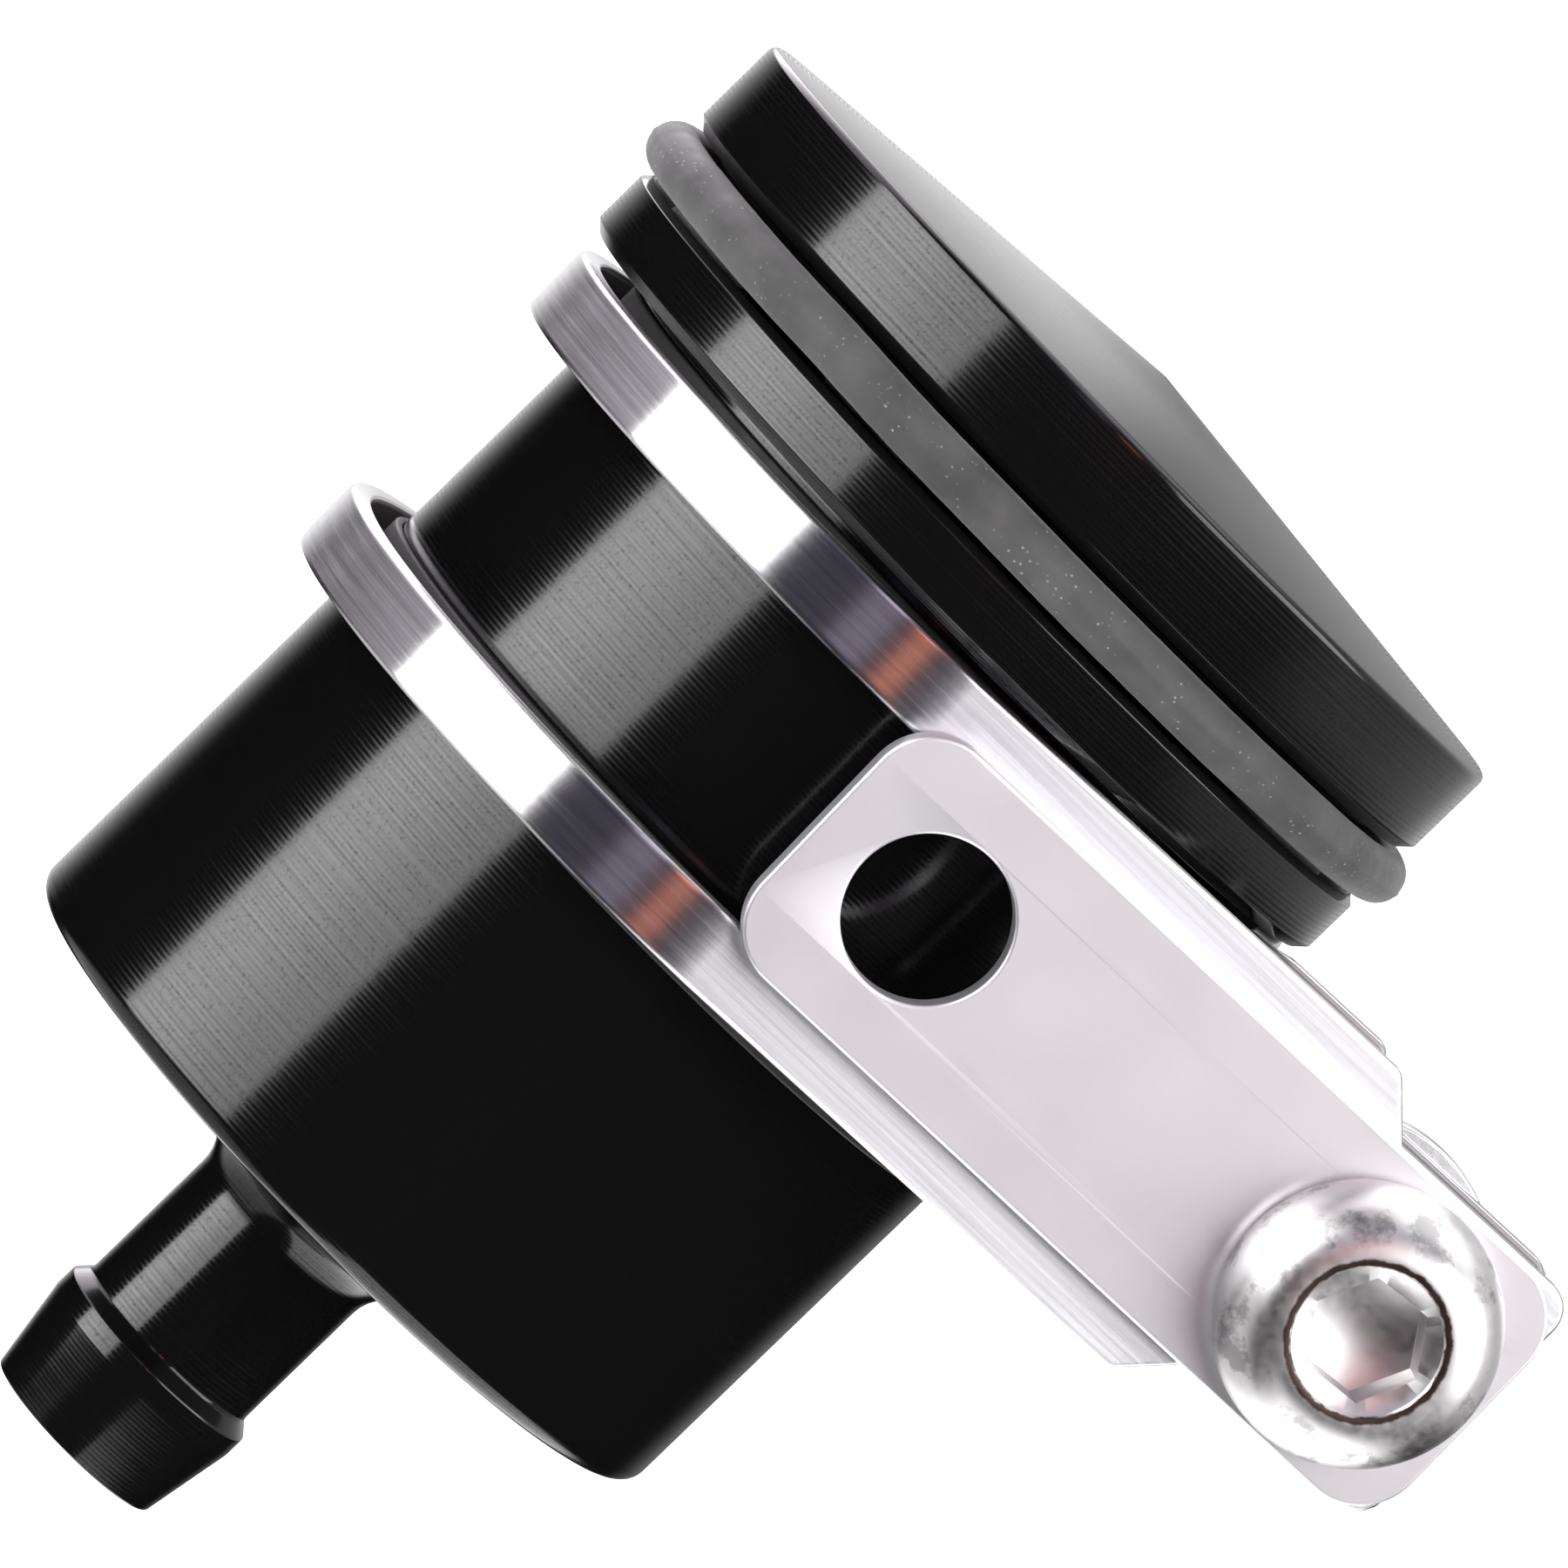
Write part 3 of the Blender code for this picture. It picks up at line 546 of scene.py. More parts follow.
def strip_stretches():
    """Centreline of the strip seen from above, as (length, place) stretches.

    place(distance along the stretch) gives the point, the outward normal and the lift there.
    """
    outward = Vector((0, -1))
    ear_end = Vector((EAR_END_X, FRONT_EAR_SET_BACK - STRIP_MID_R))
    bend = Vector((FRONT_BEND_X, -STRIP_MID_R))
    touch = Vector((0, -STRIP_MID_R))
    ear_length = (bend - ear_end).length

    def front_ear(distance):
        point = ear_end.lerp(bend, distance / ear_length)
        return point, outward, point.x * EAR_LIFT

    def front_flat(distance):
        point = bend.lerp(touch, distance / FRONT_BEND_X)
        return point, outward, point.x * EAR_LIFT

    ring_sweep = math.radians(-90) - RING_END_ANGLE + FULL_TURN

    def ring(distance):
        angle = math.radians(-90) - distance / STRIP_MID_R
        normal = Vector((math.cos(angle), math.sin(angle)))
        return normal * STRIP_MID_R, normal, 0

    leave_normal = Vector((math.cos(RING_END_ANGLE), math.sin(RING_END_ANGLE)))
    leave = leave_normal * STRIP_MID_R
    heading = RING_END_ANGLE - math.radians(90)
    direction = Vector((math.cos(heading), math.sin(heading)))
    bend_centre_y = REAR_EAR_Y + REAR_BEND_R
    run = (leave.y - bend_centre_y + leave_normal.y * REAR_BEND_R) / -direction.y
    bend_centre = leave + run * direction + leave_normal * REAR_BEND_R

    def rear_flat(distance):
        return leave + direction * distance, leave_normal, 0

    def rear_bend(distance):
        turn = heading + distance / REAR_BEND_R + math.radians(90)
        normal = Vector((math.cos(turn), math.sin(turn)))
        point = bend_centre - normal * REAR_BEND_R
        return point, normal, point.x * EAR_LIFT * distance / (-heading * REAR_BEND_R)

    ear_start = Vector((bend_centre.x, REAR_EAR_Y))

    def rear_ear(distance):
        point = ear_start + Vector((distance, 0))
        return point, Vector((0, 1)), point.x * EAR_LIFT

    return [
        (ear_length, front_ear, 1),
        (FRONT_BEND_X, front_flat, 1),
        (ring_sweep * STRIP_MID_R, ring, round(ring_sweep / RING_STEP)),
        (run, rear_flat, 1),
        (-heading * REAR_BEND_R, rear_bend, BEND_STEPS),
        (REAR_EAR_END_X - bend_centre.x, rear_ear, 1),
    ]


def flat_strip(length, slot_start, slot_end, holes):
    """The strip before bending: shoulders, rounded ears, one long slot and the screw holes."""
    wide = STRIP_WIDTH / 2
    step = wide - EAR_HALF_WIDTH
    front_foot = EAR_END_X - EAR_FOOT_X
    rear_foot = length - (REAR_EAR_END_X - EAR_FOOT_X)
    lower_side = [
        (0, -EAR_HALF_WIDTH, EAR_CORNER_R),
        (front_foot, -EAR_HALF_WIDTH, EAR_FOOT_R),
        (front_foot + step, -wide, SHOULDER_R),
        (rear_foot - step, -wide, SHOULDER_R),
        (rear_foot, -EAR_HALF_WIDTH, EAR_FOOT_R),
        (length, -EAR_HALF_WIDTH, EAR_CORNER_R),
    ]
    upper_side = [(x, -y, radius) for x, y, radius in reversed(lower_side)]
    slot = rectangle(slot_start, slot_end, SLOT_HALF_WIDTH, SLOT_CORNER_R)
    cuts = [circle((hole, 0), SCREW_HOLE_R, 64) for hole in holes]
    return plate_shape([softened(lower_side + upper_side), slot] + cuts, STRIP_THICK, STRIP_EDGE)


def clamp_strip():
    """The flat strip bent round the cup and tilted with the clamp."""
    stretches = strip_stretches()
    length = sum(stretch[0] for stretch in stretches)
    along = math.cos(CLAMP_TILT) - EAR_LIFT * math.sin(CLAMP_TILT)
    upward = math.sin(CLAMP_TILT) + EAR_LIFT * math.cos(CLAMP_TILT)
    screw_reach = (SCREW_AXIS.x - CUP_AXIS.x) / along
    centre = Vector((CUP_AXIS.x, CUP_AXIS.y, SCREW_AXIS.z - screw_reach * upward))
    ring_end = sum(stretch[0] for stretch in stretches[:3])  # past front ear, front flat and ring
    shape = flat_strip(length, EAR_END_X - SLOT_START_X, ring_end + SLOT_PAST_RING,
                       [EAR_END_X - screw_reach, length - REAR_EAR_END_X + screw_reach])
    starts = []
    start = 0.0
    for stretch_length, _, parts in stretches:
        starts.append(start)
        for part in range(parts):
            cut = start + stretch_length * part / parts
            if cut > 0:
                everything = shape.verts[:] + shape.edges[:] + shape.faces[:]
                bmesh.ops.bisect_plane(shape, geom=everything, dist=WELD, plane_co=(cut, 0, 0),
                                       plane_no=(1, 0, 0))
        start += stretch_length
    inner_skin = 0.1 * MM - STRIP_THICK / 2  # only the strip's inner face lies below this
    # The strip's inner faces take the darker steel of the second slot: painted shade.
    for face in shape.faces:
        if max(vert.co.z for vert in face.verts) < inner_skin:
            face.material_index = 1
    for vert in shape.verts:
        reach = max(0.0, vert.co.x)
        index = max(i for i, begin in enumerate(starts) if begin <= reach + ROUNDING)
        point, normal, lift = stretches[index][1](reach - starts[index])
        place = point + normal * vert.co.z
        vert.co = Vector((place.x, place.y, vert.co.y + lift))
    strip = add_piece("clamp_band", shape, CLAMP_STEEL, location=centre,
                      rotation=(0, -CLAMP_TILT, 0), sharp_deg=40)
    # Second material: the darker inside steel, painted shade.
    strip.data.materials.append(CLAMP_SHADED_INSIDE)
    flatten_faces(strip)
    settle(strip, "clamp", "clamp_steel", "clamp_strip")


def cut_away(piece, tool):
    """Boolean that is applied, so no tool is left in the scene."""
    modifier = piece.modifiers.new("cut", "BOOLEAN")
    modifier.operation = "DIFFERENCE"
    modifier.object = tool
    modifier.solver = "EXACT"
    graph = bpy.context.evaluated_depsgraph_get()
    mesh = bpy.data.meshes.new_from_object(piece.evaluated_get(graph))
    piece.modifiers.clear()
    piece.data = mesh
    bpy.data.objects.remove(tool)


def round_edges(piece, width, angle_deg=40, segments=3):
    bevel = piece.modifiers.new("edges", "BEVEL")
    bevel.width = width
    bevel.segments = segments
    bevel.limit_method = "ANGLE"
    bevel.angle_limit = math.radians(angle_deg)
    bevel.harden_normals = False


def hexagon(across_flats, turn=0.0):
    radius = across_flats / math.sqrt(3)
    return [(radius * math.cos(turn + FULL_TURN * side / 6),
             radius * math.sin(turn + FULL_TURN * side / 6)) for side in range(6)]


def pull_up(name, outline, low, high, tip=None, **place):
    """Straight prism, with an optional point below its floor as a drill leaves it."""
    shape = bmesh.new()
    base = [shape.verts.new((x, y, low)) for x, y in outline]
    top = [shape.verts.new((x, y, high)) for x, y in outline]
    shape.faces.new(top)
    for index in range(len(outline)):
        after = (index + 1) % len(outline)
        shape.faces.new((base[index], base[after], top[after], top[index]))
    if tip is None:
        shape.faces.new(base[::-1])
    else:
        point = shape.verts.new((0, 0, tip))
        for index in range(len(outline)):
            shape.faces.new((base[(index + 1) % len(outline)], base[index], point))
    return add_piece(name, shape, SCREW_STEEL, **place)


HEAD_R = (SCREW_HIGH.x - SCREW_LOW.x) / 2
HEAD_HEIGHT = 3.3 * MM
HEAD_SEAT_Y = SCREW_LOW.y + HEAD_HEIGHT
SCREW_LENGTH = SCREW_HIGH.y - HEAD_SEAT_Y
SOCKET_FLATS = 4.0 * MM
SOCKET_TURN = math.radians(6)
FACING_FRONT = (math.radians(90), 0, 0)
FACING_BACK = (math.radians(-90), 0, 0)


def clamp_screw():
    """Button head with a countersunk hexagon socket, and a threaded shank."""
    lip_r = 2.95 * MM
    side_height = 0.55 * MM
    crown_steps = 24
    crown = []
    for step in range(crown_steps, -1, -1):
        angle = math.radians(90 * step / crown_steps)
        crown.append((lip_r + (HEAD_R - lip_r) * math.cos(angle),
                      side_height + (HEAD_HEIGHT - side_height) * math.sin(angle)))
    # (radius, depth below the crown) of the countersink that the socket is cut into
    dish = [(0, 0.34 * MM), (2.15 * MM, 0.34 * MM), (2.72 * MM, 0.12 * MM), (2.80 * MM, 0.02 * MM)]
    profile = [(radius, HEAD_HEIGHT - depth) for radius, depth in dish] + crown
    profile += [(HEAD_R, 0.30 * MM), (HEAD_R - 0.12 * MM, 0.06 * MM), (HEAD_R - 0.3 * MM, 0), (0, 0)]
    place = {"location": (SCREW_AXIS.x, HEAD_SEAT_Y, SCREW_AXIS.z), "rotation": FACING_FRONT}
    head = revolve("screw_head", profile, HEAD_STEEL, steps=192, **place)
    socket_floor = HEAD_HEIGHT - 2.0 * MM
    drill_tip = HEAD_HEIGHT - 2.75 * MM
    socket = pull_up("socket", hexagon(SOCKET_FLATS, SOCKET_TURN), socket_floor, HEAD_HEIGHT * 2,
                     tip=drill_tip, **place)
    cut_away(head, socket)
    round_edges(head, 0.05 * MM, angle_deg=25)
    settle(head, "clamp", "screw_steel", "clamp_screw")
    core_r = 2.42 * MM
    pitch = 1.0 * MM
    inside_head = 0.4 * MM
    chamfer = 0.7 * MM
    shank = revolve("screw_shank", [(0, inside_head), (core_r, inside_head),
                                    (core_r, chamfer - SCREW_LENGTH),
                                    (core_r - chamfer, -SCREW_LENGTH), (0, -SCREW_LENGTH)],
                    SCREW_STEEL, steps=96, **place)
    settle(shank, "clamp", "screw_steel")
    thread = helix_ridge("screw_thread", core_r, 1, chamfer * 1.2 - SCREW_LENGTH,
                         (SCREW_LENGTH - chamfer * 1.4) / pitch, pitch, 0.5 * MM, SCREW_STEEL,
                         **place)
    settle(thread, "clamp", "screw_steel")


def rear_washer():
    hole_r = 3.2 * MM
    outer = (WASHER_HIGH.x - WASHER_LOW.x) / 2
    edge = 0.12 * MM
    profile = band_section(hole_r, outer, 0, WASHER_HIGH.y - WASHER_LOW.y,
                           (edge, edge, 0.3 * MM, edge))
    washer = revolve("washer", profile, NUT_STEEL, steps=128,
                     location=(SCREW_AXIS.x, WASHER_LOW.y, SCREW_AXIS.z), rotation=FACING_BACK)
    settle(washer, "clamp", "nut_steel", "rear_washer")


def lock_nut():
    """Chamfered hexagon with a rolled collar that holds the nylon insert."""
    hex_high = 4.9 * MM
    high = NUT_HIGH.y - NUT_LOW.y
    collar_r = 4.7 * MM
    rolled_r = 0.75 * MM
    flats = 10.0 * MM
    corner_r = flats / math.sqrt(3)
    face_r = 4.75 * MM
    chamfer_height = 0.45 * MM
    facets = 120
    radii = []
    for facet in range(facets):
        from_flat = math.remainder(FULL_TURN * facet / facets, math.radians(60))
        radii.append(flats / 2 / math.cos(from_flat))
    shape = bmesh.new()

    def hex_ring(height, limit):
        ring = []
        for facet, radius in enumerate(radii):
            angle = FULL_TURN * facet / facets
            kept = min(radius, limit)
            ring.append(shape.verts.new((kept * math.cos(angle), kept * math.sin(angle), height)))
        return ring

    def chamfer(start_limit, end_limit, start, steps=6):
        """(height, largest radius) along a chamfer that rises from a height."""
        return [(start + chamfer_height * part / steps,
                 start_limit + (end_limit - start_limit) * part / steps)
                for part in range(steps + 1)]

    levels = chamfer(face_r, corner_r, 0)
    levels += chamfer(corner_r, face_r, hex_high - chamfer_height)
    collar = [(collar_r, hex_high + 0.02 * MM), (collar_r, high - rolled_r)]
    collar += arc((collar_r - rolled_r, high - rolled_r), rolled_r, 0, 90)
    pocket_r = 3.75 * MM
    thread_r = 2.85 * MM
    ledge = hex_high - 0.1 * MM
    inner = [(pocket_r, high - 0.1 * MM), (pocket_r, ledge), (thread_r, ledge),
             (thread_r, 0.4 * MM), (3.2 * MM, 0)]
    rings = [hex_ring(height, limit) for height, limit in levels]
    rings += [hex_ring(height, radius) for radius, height in collar + inner]
    for first, second in zip(rings, rings[1:] + rings[:1]):
        for facet in range(facets):
            after = (facet + 1) % facets
            shape.faces.new((first[facet], first[after], second[after], second[facet]))
    seat = (SCREW_AXIS.x, NUT_LOW.y, SCREW_AXIS.z)
    nut = add_piece("nut", shape, NUT_STEEL, location=seat, rotation=FACING_BACK, sharp_deg=25)
    settle(nut, "clamp", "nut_steel", "lock_nut")
    edge = 0.2 * MM
    section = band_section(3.0 * MM, 3.7 * MM, INSERT_LOW.y - NUT_LOW.y, INSERT_HIGH.y - NUT_LOW.y,
                           (edge, 0.1 * MM, edge, edge))
    insert = revolve("insert", section, NYLON, steps=96, location=seat, rotation=FACING_BACK)
    settle(insert, "clamp", "nylon", "nut_insert")


# ================================================================ cup, cap and seals

CAP_THREAD_PITCH = 1.5 * MM
CAP_THREAD_DEPTH = 0.75 * MM


def on_cup_axis(height=0.0):
    return (CUP_AXIS.x, CUP_AXIS.y, height)


def cup_body():
    """Turned cup with flange and hose barb, heights counted from the cup's bottom face."""
    flange_low = FLANGE_BOTTOM - CUP_BASE
    flange_high = FLANGE_TOP - CUP_BASE
    end = BARB_END - CUP_BASE
    boss_r, boss_low = 6.0 * MM, -1.2 * MM
    mouth_r = 14.3 * MM
    recess_r = 13.5 * MM
    inside_r = 12.3 * MM
    ledge = 25.2 * MM  # carries the diaphragm's rim
    inner_floor = 3.0 * MM
    profile = [
        (BORE_R, end, 0),
        (3.9 * MM, end, 0.12 * MM),
        (LIP_R, -10.1 * MM, 0.2 * MM),
        (LIP_R, -9.25 * MM, 0.2 * MM),
        (NECK_R, -8.7 * MM, 0.35 * MM),
        (NECK_R, boss_low, 1.75 * MM),
        (boss_r, boss_low, 0.15 * MM),
        (boss_r, 0, 0.15 * MM),
        (BODY_R, 0, 0.8 * MM),
        (BODY_R, flange_low, 0.2 * MM),
        (FLANGE_R - 0.4 * MM, flange_low, 0.05 * MM),
        (FLANGE_R, flange_low + 0.4 * MM, 0.1 * MM),
        (FLANGE_R, flange_high - 0.3 * MM, 0.1 * MM),
        (FLANGE_R - 0.3 * MM, flange_high, 0.05 * MM),
        (mouth_r + 0.4 * MM, flange_high, 0.05 * MM),
        (mouth_r, flange_high - 0.4 * MM, 0.05 * MM),
        (mouth_r, 28.6 * MM, 0.1 * MM),
        (recess_r, 28.3 * MM, 0.1 * MM),
        (recess_r, ledge, 0.2 * MM),
        (inside_r, ledge, 0.1 * MM),
        (inside_r, inner_floor, 2.0 * MM),
        (BORE_R, inner_floor, 0.2 * MM),
    ]
    cup = revolve("cup", softened(profile, steps=8), ANODISED, steps=320,
                  location=on_cup_axis(CUP_BASE))
    settle(cup, "cup", "black_anodised", "cup_body")
    thread_start = 30.05 * MM
    thread = helix_ridge("cup_inner_thread", mouth_r, -1, thread_start, 2.5, CAP_THREAD_PITCH,
                         CAP_THREAD_DEPTH, ANODISED, location=on_cup_axis(CUP_BASE))
    settle(thread, "cup", "black_anodised")


def cap():
    """Cap with a shallow cone top, the O-ring's shoulder and the threaded plug."""
    rim = CAP_HIGH.z - 1.8 * MM - CUP_BASE
    apex = CAP_HIGH.z - CUP_BASE
    low = CAP_LOW.z - CUP_BASE
    radius = (CAP_HIGH.x - CAP_LOW.x) / 2
    bottom = 37.1 * MM
    shoulder = 34.9 * MM
    shoulder_r = 17.2 * MM
    plug_r = 13.2 * MM
    hollow_r = 10.2 * MM
    hollow_top = 38.6 * MM
    profile = [
        (0, hollow_top, 0),
        (hollow_r, hollow_top, 0.8 * MM),
        (hollow_r, low, 0.15 * MM),
        (plug_r, low, 0.4 * MM),
        (plug_r, shoulder, 0.2 * MM),
        (shoulder_r, shoulder, 0.2 * MM),
        (shoulder_r, bottom, 0.15 * MM),
        (radius - 0.45 * MM, bottom, 0.05 * MM),
        (radius, bottom + 0.45 * MM, 0.1 * MM),
        (radius, rim, 0.35 * MM),
        (0, apex, 0),
    ]
    lid = revolve("cap_shell", softened(profile, closed=False, steps=8), ANODISED, steps=320,
                  location=on_cup_axis(CUP_BASE))
    settle(lid, "cap", "black_anodised", "cap")
    thread_start = 29.3 * MM
    thread = helix_ridge("cap_thread", plug_r, 1, thread_start, 3.0, CAP_THREAD_PITCH,
                         CAP_THREAD_DEPTH, ANODISED, location=on_cup_axis(CUP_BASE))
    settle(thread, "cap", "black_anodised")


def seal():
    """O-ring with a mould line and the slight waviness of a slack rubber ring."""
    middle = (SEAL_LOW.z + SEAL_HIGH.z) / 2
    section = (SEAL_HIGH.z - SEAL_LOW.z) / 2
    ring_r = (SEAL_HIGH.x - SEAL_LOW.x) / 2 - section
    around = 480
    across = 40
    mould_height = 0.035 * MM
    mould_width = 0.045  # of a radian round the section
    shape = bmesh.new()
    grid = []
    for step in range(around):
        turn = FULL_TURN * step / around
        heading = Vector((math.cos(turn), math.sin(turn), 0))
        wander = 0.045 * MM * noise.noise(heading * 3.1)
        sway = 0.04 * MM * (noise.noise(heading * 5.3 + Vector((0, 0, 4))) - 0.5)
        ring = []
        for part in range(across):
            angle = FULL_TURN * part / across
            skin = noise.noise(heading * 16 + Vector((0, 0, 1.3 * math.sin(angle))))
            thick = section * 0.965 - 0.02 * MM * abs(skin)
            from_mould_line = math.remainder(angle, FULL_TURN) / mould_width
            reach = thick + mould_height * math.exp(-from_mould_line ** 2)
            spot = heading * (ring_r + sway + reach * math.cos(angle))
            ring.append(shape.verts.new((spot.x, spot.y, wander + reach * math.sin(angle))))
        grid.append(ring)
    for step in range(around):
        here, after = grid[step], grid[(step + 1) % around]
        for part in range(across):
            next_part = (part + 1) % across
            shape.faces.new((here[part], after[part], after[next_part], here[next_part]))
    ring = add_piece("o_ring", shape, SILICONE, location=on_cup_axis(middle), sharp_deg=80)
    settle(ring, "cap_seal", "seal_silicone", "cap_o_ring")


def liners():
    """Thin rubber bands between the steel bands and the cup."""
    for node in ("upper_liner", "lower_liner"):
        low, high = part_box(node)
        outer = (high.x - low.x) / 2
        inner = outer - 0.32 * MM
        edges = (0.05 * MM, 0.1 * MM, 0.1 * MM, 0.05 * MM)
        band = revolve(node + "_band", band_section(inner, outer, low.z, high.z, edges),
                       LINER_RUBBER, steps=256, location=on_cup_axis())
        settle(band, "cup", "liner_rubber", node)


def diaphragm():
    """Bellows with rounded folds under the cap."""
    low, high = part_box("diaphragm")
    rim = high.z - 1.4 * MM
    rim_r = 13.2 * MM
    wide, narrow = 10.9 * MM, 9.3 * MM
    wall, fold = 0.8 * MM, 3.2 * MM
    folds = []
    for index in range(3):
        folds.append((narrow, rim - (index + 0.5) * fold, 0.5 * MM))
        folds.append((wide, rim - (index + 1) * fold, 0.5 * MM))
    outer = [(0, low.z, 0), (narrow, low.z, 0.6 * MM)] + folds[::-1]
    outer += [(wide, rim, 0.3 * MM), (rim_r, rim, 0.3 * MM), (rim_r, high.z, 0.3 * MM),
              (wide - wall, high.z, 0.3 * MM)]
    inner = [(radius - wall, height, soft) for radius, height, soft in folds]
    inner += [(narrow - wall, low.z + wall, 0.4 * MM), (0, low.z + wall, 0)]
    bellows = revolve("bellows", softened(outer + inner, closed=False, steps=4),
                      DIAPHRAGM_RUBBER, steps=160, location=on_cup_axis())
    settle(bellows, "cup", "diaphragm_rubber", "diaphragm")


def slip_ring():
    low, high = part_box("slip_ring")
    inner = 10.3 * MM
    outer = (high.x - low.x) / 2
    ring = revolve("slip_washer", band_section(inner, outer, low.z, high.z, (0.15 * MM,) * 4),
                   ACETAL, steps=160, location=on_cup_axis())
    settle(ring, "cup", "slip_ring_plastic", "slip_ring")


# ================================================================ camera, light and floor

def direction_to(azimuth, elevation=0.0):
    """Unit vector towards an azimuth (0 is the arm's front, -Y; positive towards +X)."""
    return Vector((math.sin(azimuth) * math.cos(elevation),
                   -math.cos(azimuth) * math.cos(elevation), math.sin(elevation)))


def camera():
    back = direction_to(VIEW_AZIMUTH, VIEW_PITCH)
    right = Vector((math.cos(VIEW_AZIMUTH), math.sin(VIEW_AZIMUTH), 0))
    up = back.cross(right)
    aim = Vector((CUP_AXIS.x, CUP_AXIS.y, VIEW_AIM_HEIGHT)) + right * VIEW_AIM_RIGHT
    data = bpy.data.cameras.new("view")
    data.lens = LENS
    data.sensor_width = SENSOR
    data.clip_start = 0.01
    data.clip_end = 50
    holder = bpy.data.objects.new("view", data)
    upright = Matrix((right, up, back)).transposed().to_4x4()
    holder.matrix_world = (Matrix.Translation(aim + back * VIEW_DISTANCE) @ upright
                           @ Matrix.Rotation(VIEW_ROLL, 4, "Z"))
    bpy.context.scene.collection.objects.link(holder)
    bpy.context.scene.camera = holder


class Surroundings:
    """Studio round the object as a function of direction."""

    def __init__(self):
        self.world = bpy.data.worlds.new("studio")
        self.world.use_nodes = True
        self.tree = self.world.node_tree
        self.tree.nodes.clear()
        generated = self.tree.nodes.new("ShaderNodeTexCoord").outputs["Generated"]
        split = self.tree.nodes.new("ShaderNodeSeparateXYZ")
        self.tree.links.new(generated, split.inputs[0])
        x, y, z = split.outputs
        self.azimuth = self.math("ARCTAN2", x, self.math("MULTIPLY", y, -1.0))
        self.elevation = self.math("ARCSINE", z)

    def math(self, operation, *values):
        return math_node(self.tree, operation, *values)

    def rise(self, value, low_deg, high_deg):
        """0 below low, 1 above high, smooth between."""
        made = self.tree.nodes.new("ShaderNodeMapRange")
        made.interpolation_type = "SMOOTHSTEP"
        self.tree.links.new(value, made.inputs["Value"])
        made.inputs["From Min"].default_value = math.radians(low_deg)
        made.inputs["From Max"].default_value = math.radians(high_deg)
        return made.outputs[0]

    def fall(self, value, low_deg, high_deg):
        """1 below low, 0 above high, smooth between."""
        return self.math("SUBTRACT", 1.0, self.rise(value, low_deg, high_deg))

    def window(self, value, low_deg, high_deg, soft_deg):
        """1 between two angles, fading over the soft margin outside them."""
        return self.math("MULTIPLY", self.rise(value, low_deg - soft_deg, low_deg),
                         self.fall(value, high_deg, high_deg + soft_deg))

    def glow(self, strength, colour, *windows):
        """Light of a strength and colour wherever all the windows are open."""
        level = strength
        for opening in windows:
            level = self.math("MULTIPLY", opening, level)
        made = self.tree.nodes.new("ShaderNodeBackground")
        made.inputs["Color"].default_value = (*colour, 1.0)
        feed(self.tree, made.inputs["Strength"], level)
        return made.outputs[0]

    def add(self, first, second):
        made = self.tree.nodes.new("ShaderNodeAddShader")
        self.tree.links.new(first, made.inputs[0])
        self.tree.links.new(second, made.inputs[1])
        return made.outputs[0]


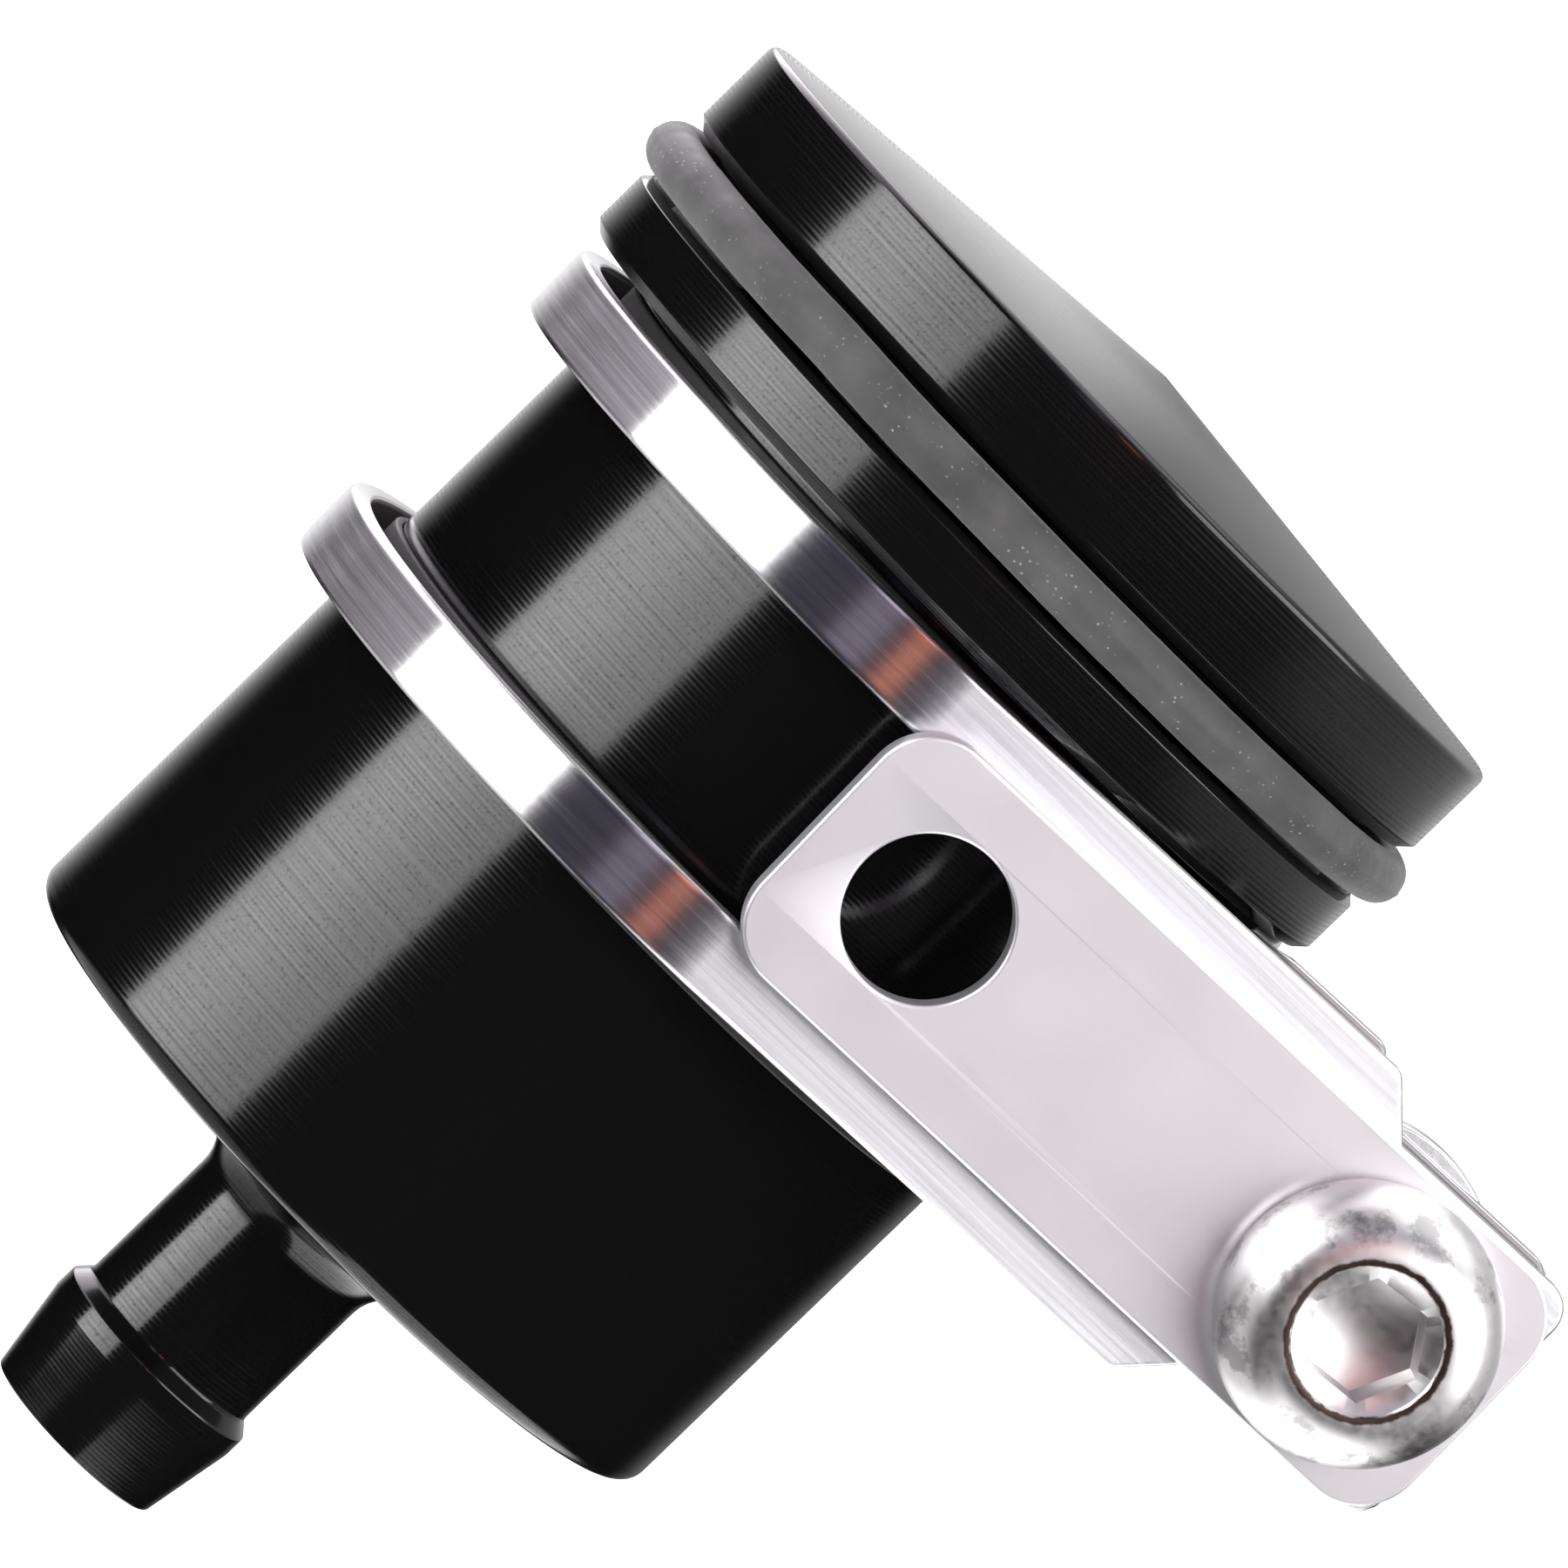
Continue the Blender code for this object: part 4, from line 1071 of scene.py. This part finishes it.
def studio():
    """Softbox left of the camera, one high on its right, and a pale room seen in reflections.

    The camera itself sees an even white in place of all that.
    """
    room = Surroundings()
    azimuth, elevation = room.azimuth, room.elevation
    white = (1.0, 1.0, 1.0)
    behind_left = room.fall(azimuth, -180.0, -148.0)
    on_table = room.fall(elevation, -36.0, -27.0)
    above_table = room.rise(elevation, -20.0, -10.0)
    box_height = room.window(elevation, -13.0, 12.0, 14.0)
    over_lens = room.window(elevation, 9.0, 60.0, 4.0)
    lights = [
        # large softbox on the left, brighter away from the camera
        room.glow(4.8, white, room.window(azimuth, -91.0, -44.5, 1.2), box_height),
        room.glow(2.6, white, room.window(azimuth, -91.0, -78.0, 30.0), box_height,
                  room.rise(azimuth, -92.2, -91.0), room.fall(azimuth, -50.0, -44.0)),
        # softbox right of the camera, above the level of the lens
        room.glow(4.8, (1.0, 0.985, 1.0), room.window(azimuth, 11.0, 75.0, 1.2),
                  room.window(elevation, 10.0, 45.0, 3.0)),
        # patches in front like those of people and furniture: pale, warm, and two dim ones
        room.glow(0.7, (0.9, 0.78, 1.0), room.window(azimuth, -21.0, -14.0, 3.0), over_lens),
        room.glow(2.6, (1.0, 0.32, 0.16), room.window(azimuth, -7.5, -2.5, 1.0),
                  room.window(elevation, 9.0, 26.0, 4.0)),
        room.glow(0.1, (0.7, 0.65, 1.0), room.window(azimuth, -44.0, 12.0, 3.0), over_lens),
        room.glow(0.025, (0.85, 0.8, 1.0), room.window(azimuth, -44.0, 12.0, 3.0)),
        # walls on the left and on the right
        room.glow(1.9, (1.0, 0.93, 1.0), room.window(azimuth, -178.0, -96.0, 4.0), over_lens),
        room.glow(1.2, (1.0, 0.95, 1.0), room.window(azimuth, -178.0, -140.0, 8.0), over_lens),
        room.glow(0.5, white, room.window(azimuth, 75.0, 150.0, 30.0),
                  room.rise(elevation, -5.0, -3.0)),
        # pale wall behind, brighter straight behind and on the left
        room.glow(0.22, white, room.math("ADD", room.rise(azimuth, 130.0, 155.0), behind_left),
                  above_table),
        room.glow(0.70, white, room.math("ADD", room.rise(azimuth, 168.3, 170.5), behind_left),
                  above_table),
        # ceiling, and the white table below on the right and on the left
        room.glow(2.0, white, room.rise(elevation, 55.0, 75.0)),
        room.glow(2.4, white, room.rise(azimuth, 9.0, 12.0), on_table),
        room.glow(0.8, white, room.fall(azimuth, -60.0, -44.0), on_table),
    ]
    seen = lights[0]
    for part in lights[1:]:
        seen = room.add(seen, part)
    backdrop = room.glow(1.0, white)
    choice = room.tree.nodes.new("ShaderNodeMixShader")
    path = room.tree.nodes.new("ShaderNodeLightPath")
    room.tree.links.new(path.outputs["Is Camera Ray"], choice.inputs[0])
    room.tree.links.new(seen, choice.inputs[1])
    room.tree.links.new(backdrop, choice.inputs[2])
    output = room.tree.nodes.new("ShaderNodeOutputWorld")
    room.tree.links.new(choice.outputs[0], output.inputs["Surface"])
    bpy.context.scene.world = room.world


def floor():
    """Wide pale floor well below the object, which hangs on its arm; clear from underneath."""
    half_size = 6000 * MM
    drop = 60 * MM
    shape = bmesh.new()
    bmesh.ops.create_grid(shape, x_segments=8, y_segments=8, size=half_size)
    pale = Finish("floor", (0.92, 0.92, 0.92), 0.9, Emission_Color=(1, 1, 1, 1),
                  Emission_Strength=0.35)
    side = pale.node("ShaderNodeNewGeometry").outputs["Backfacing"]
    through = pale.node("ShaderNodeBsdfTransparent").outputs[0]
    mix = pale.node("ShaderNodeMixShader")
    for socket, value in zip(mix.inputs, (side, pale.shader.outputs[0], through)):
        pale.tree.links.new(value, socket)
    pale.tree.links.new(mix.outputs[0], pale.tree.nodes["Material Output"].inputs["Surface"])
    ground = add_piece("floor", shape, pale.material, location=(0, 0, CUP_LOW.z - drop))
    ground.visible_glossy = False


mounting_arm()
clamp_strip()
clamp_screw()
rear_washer()
lock_nut()
cup_body()
cap()
seal()
liners()
diaphragm()
slip_ring()
camera()
studio()
floor()
bpy.context.scene.view_settings.view_transform = "Standard"
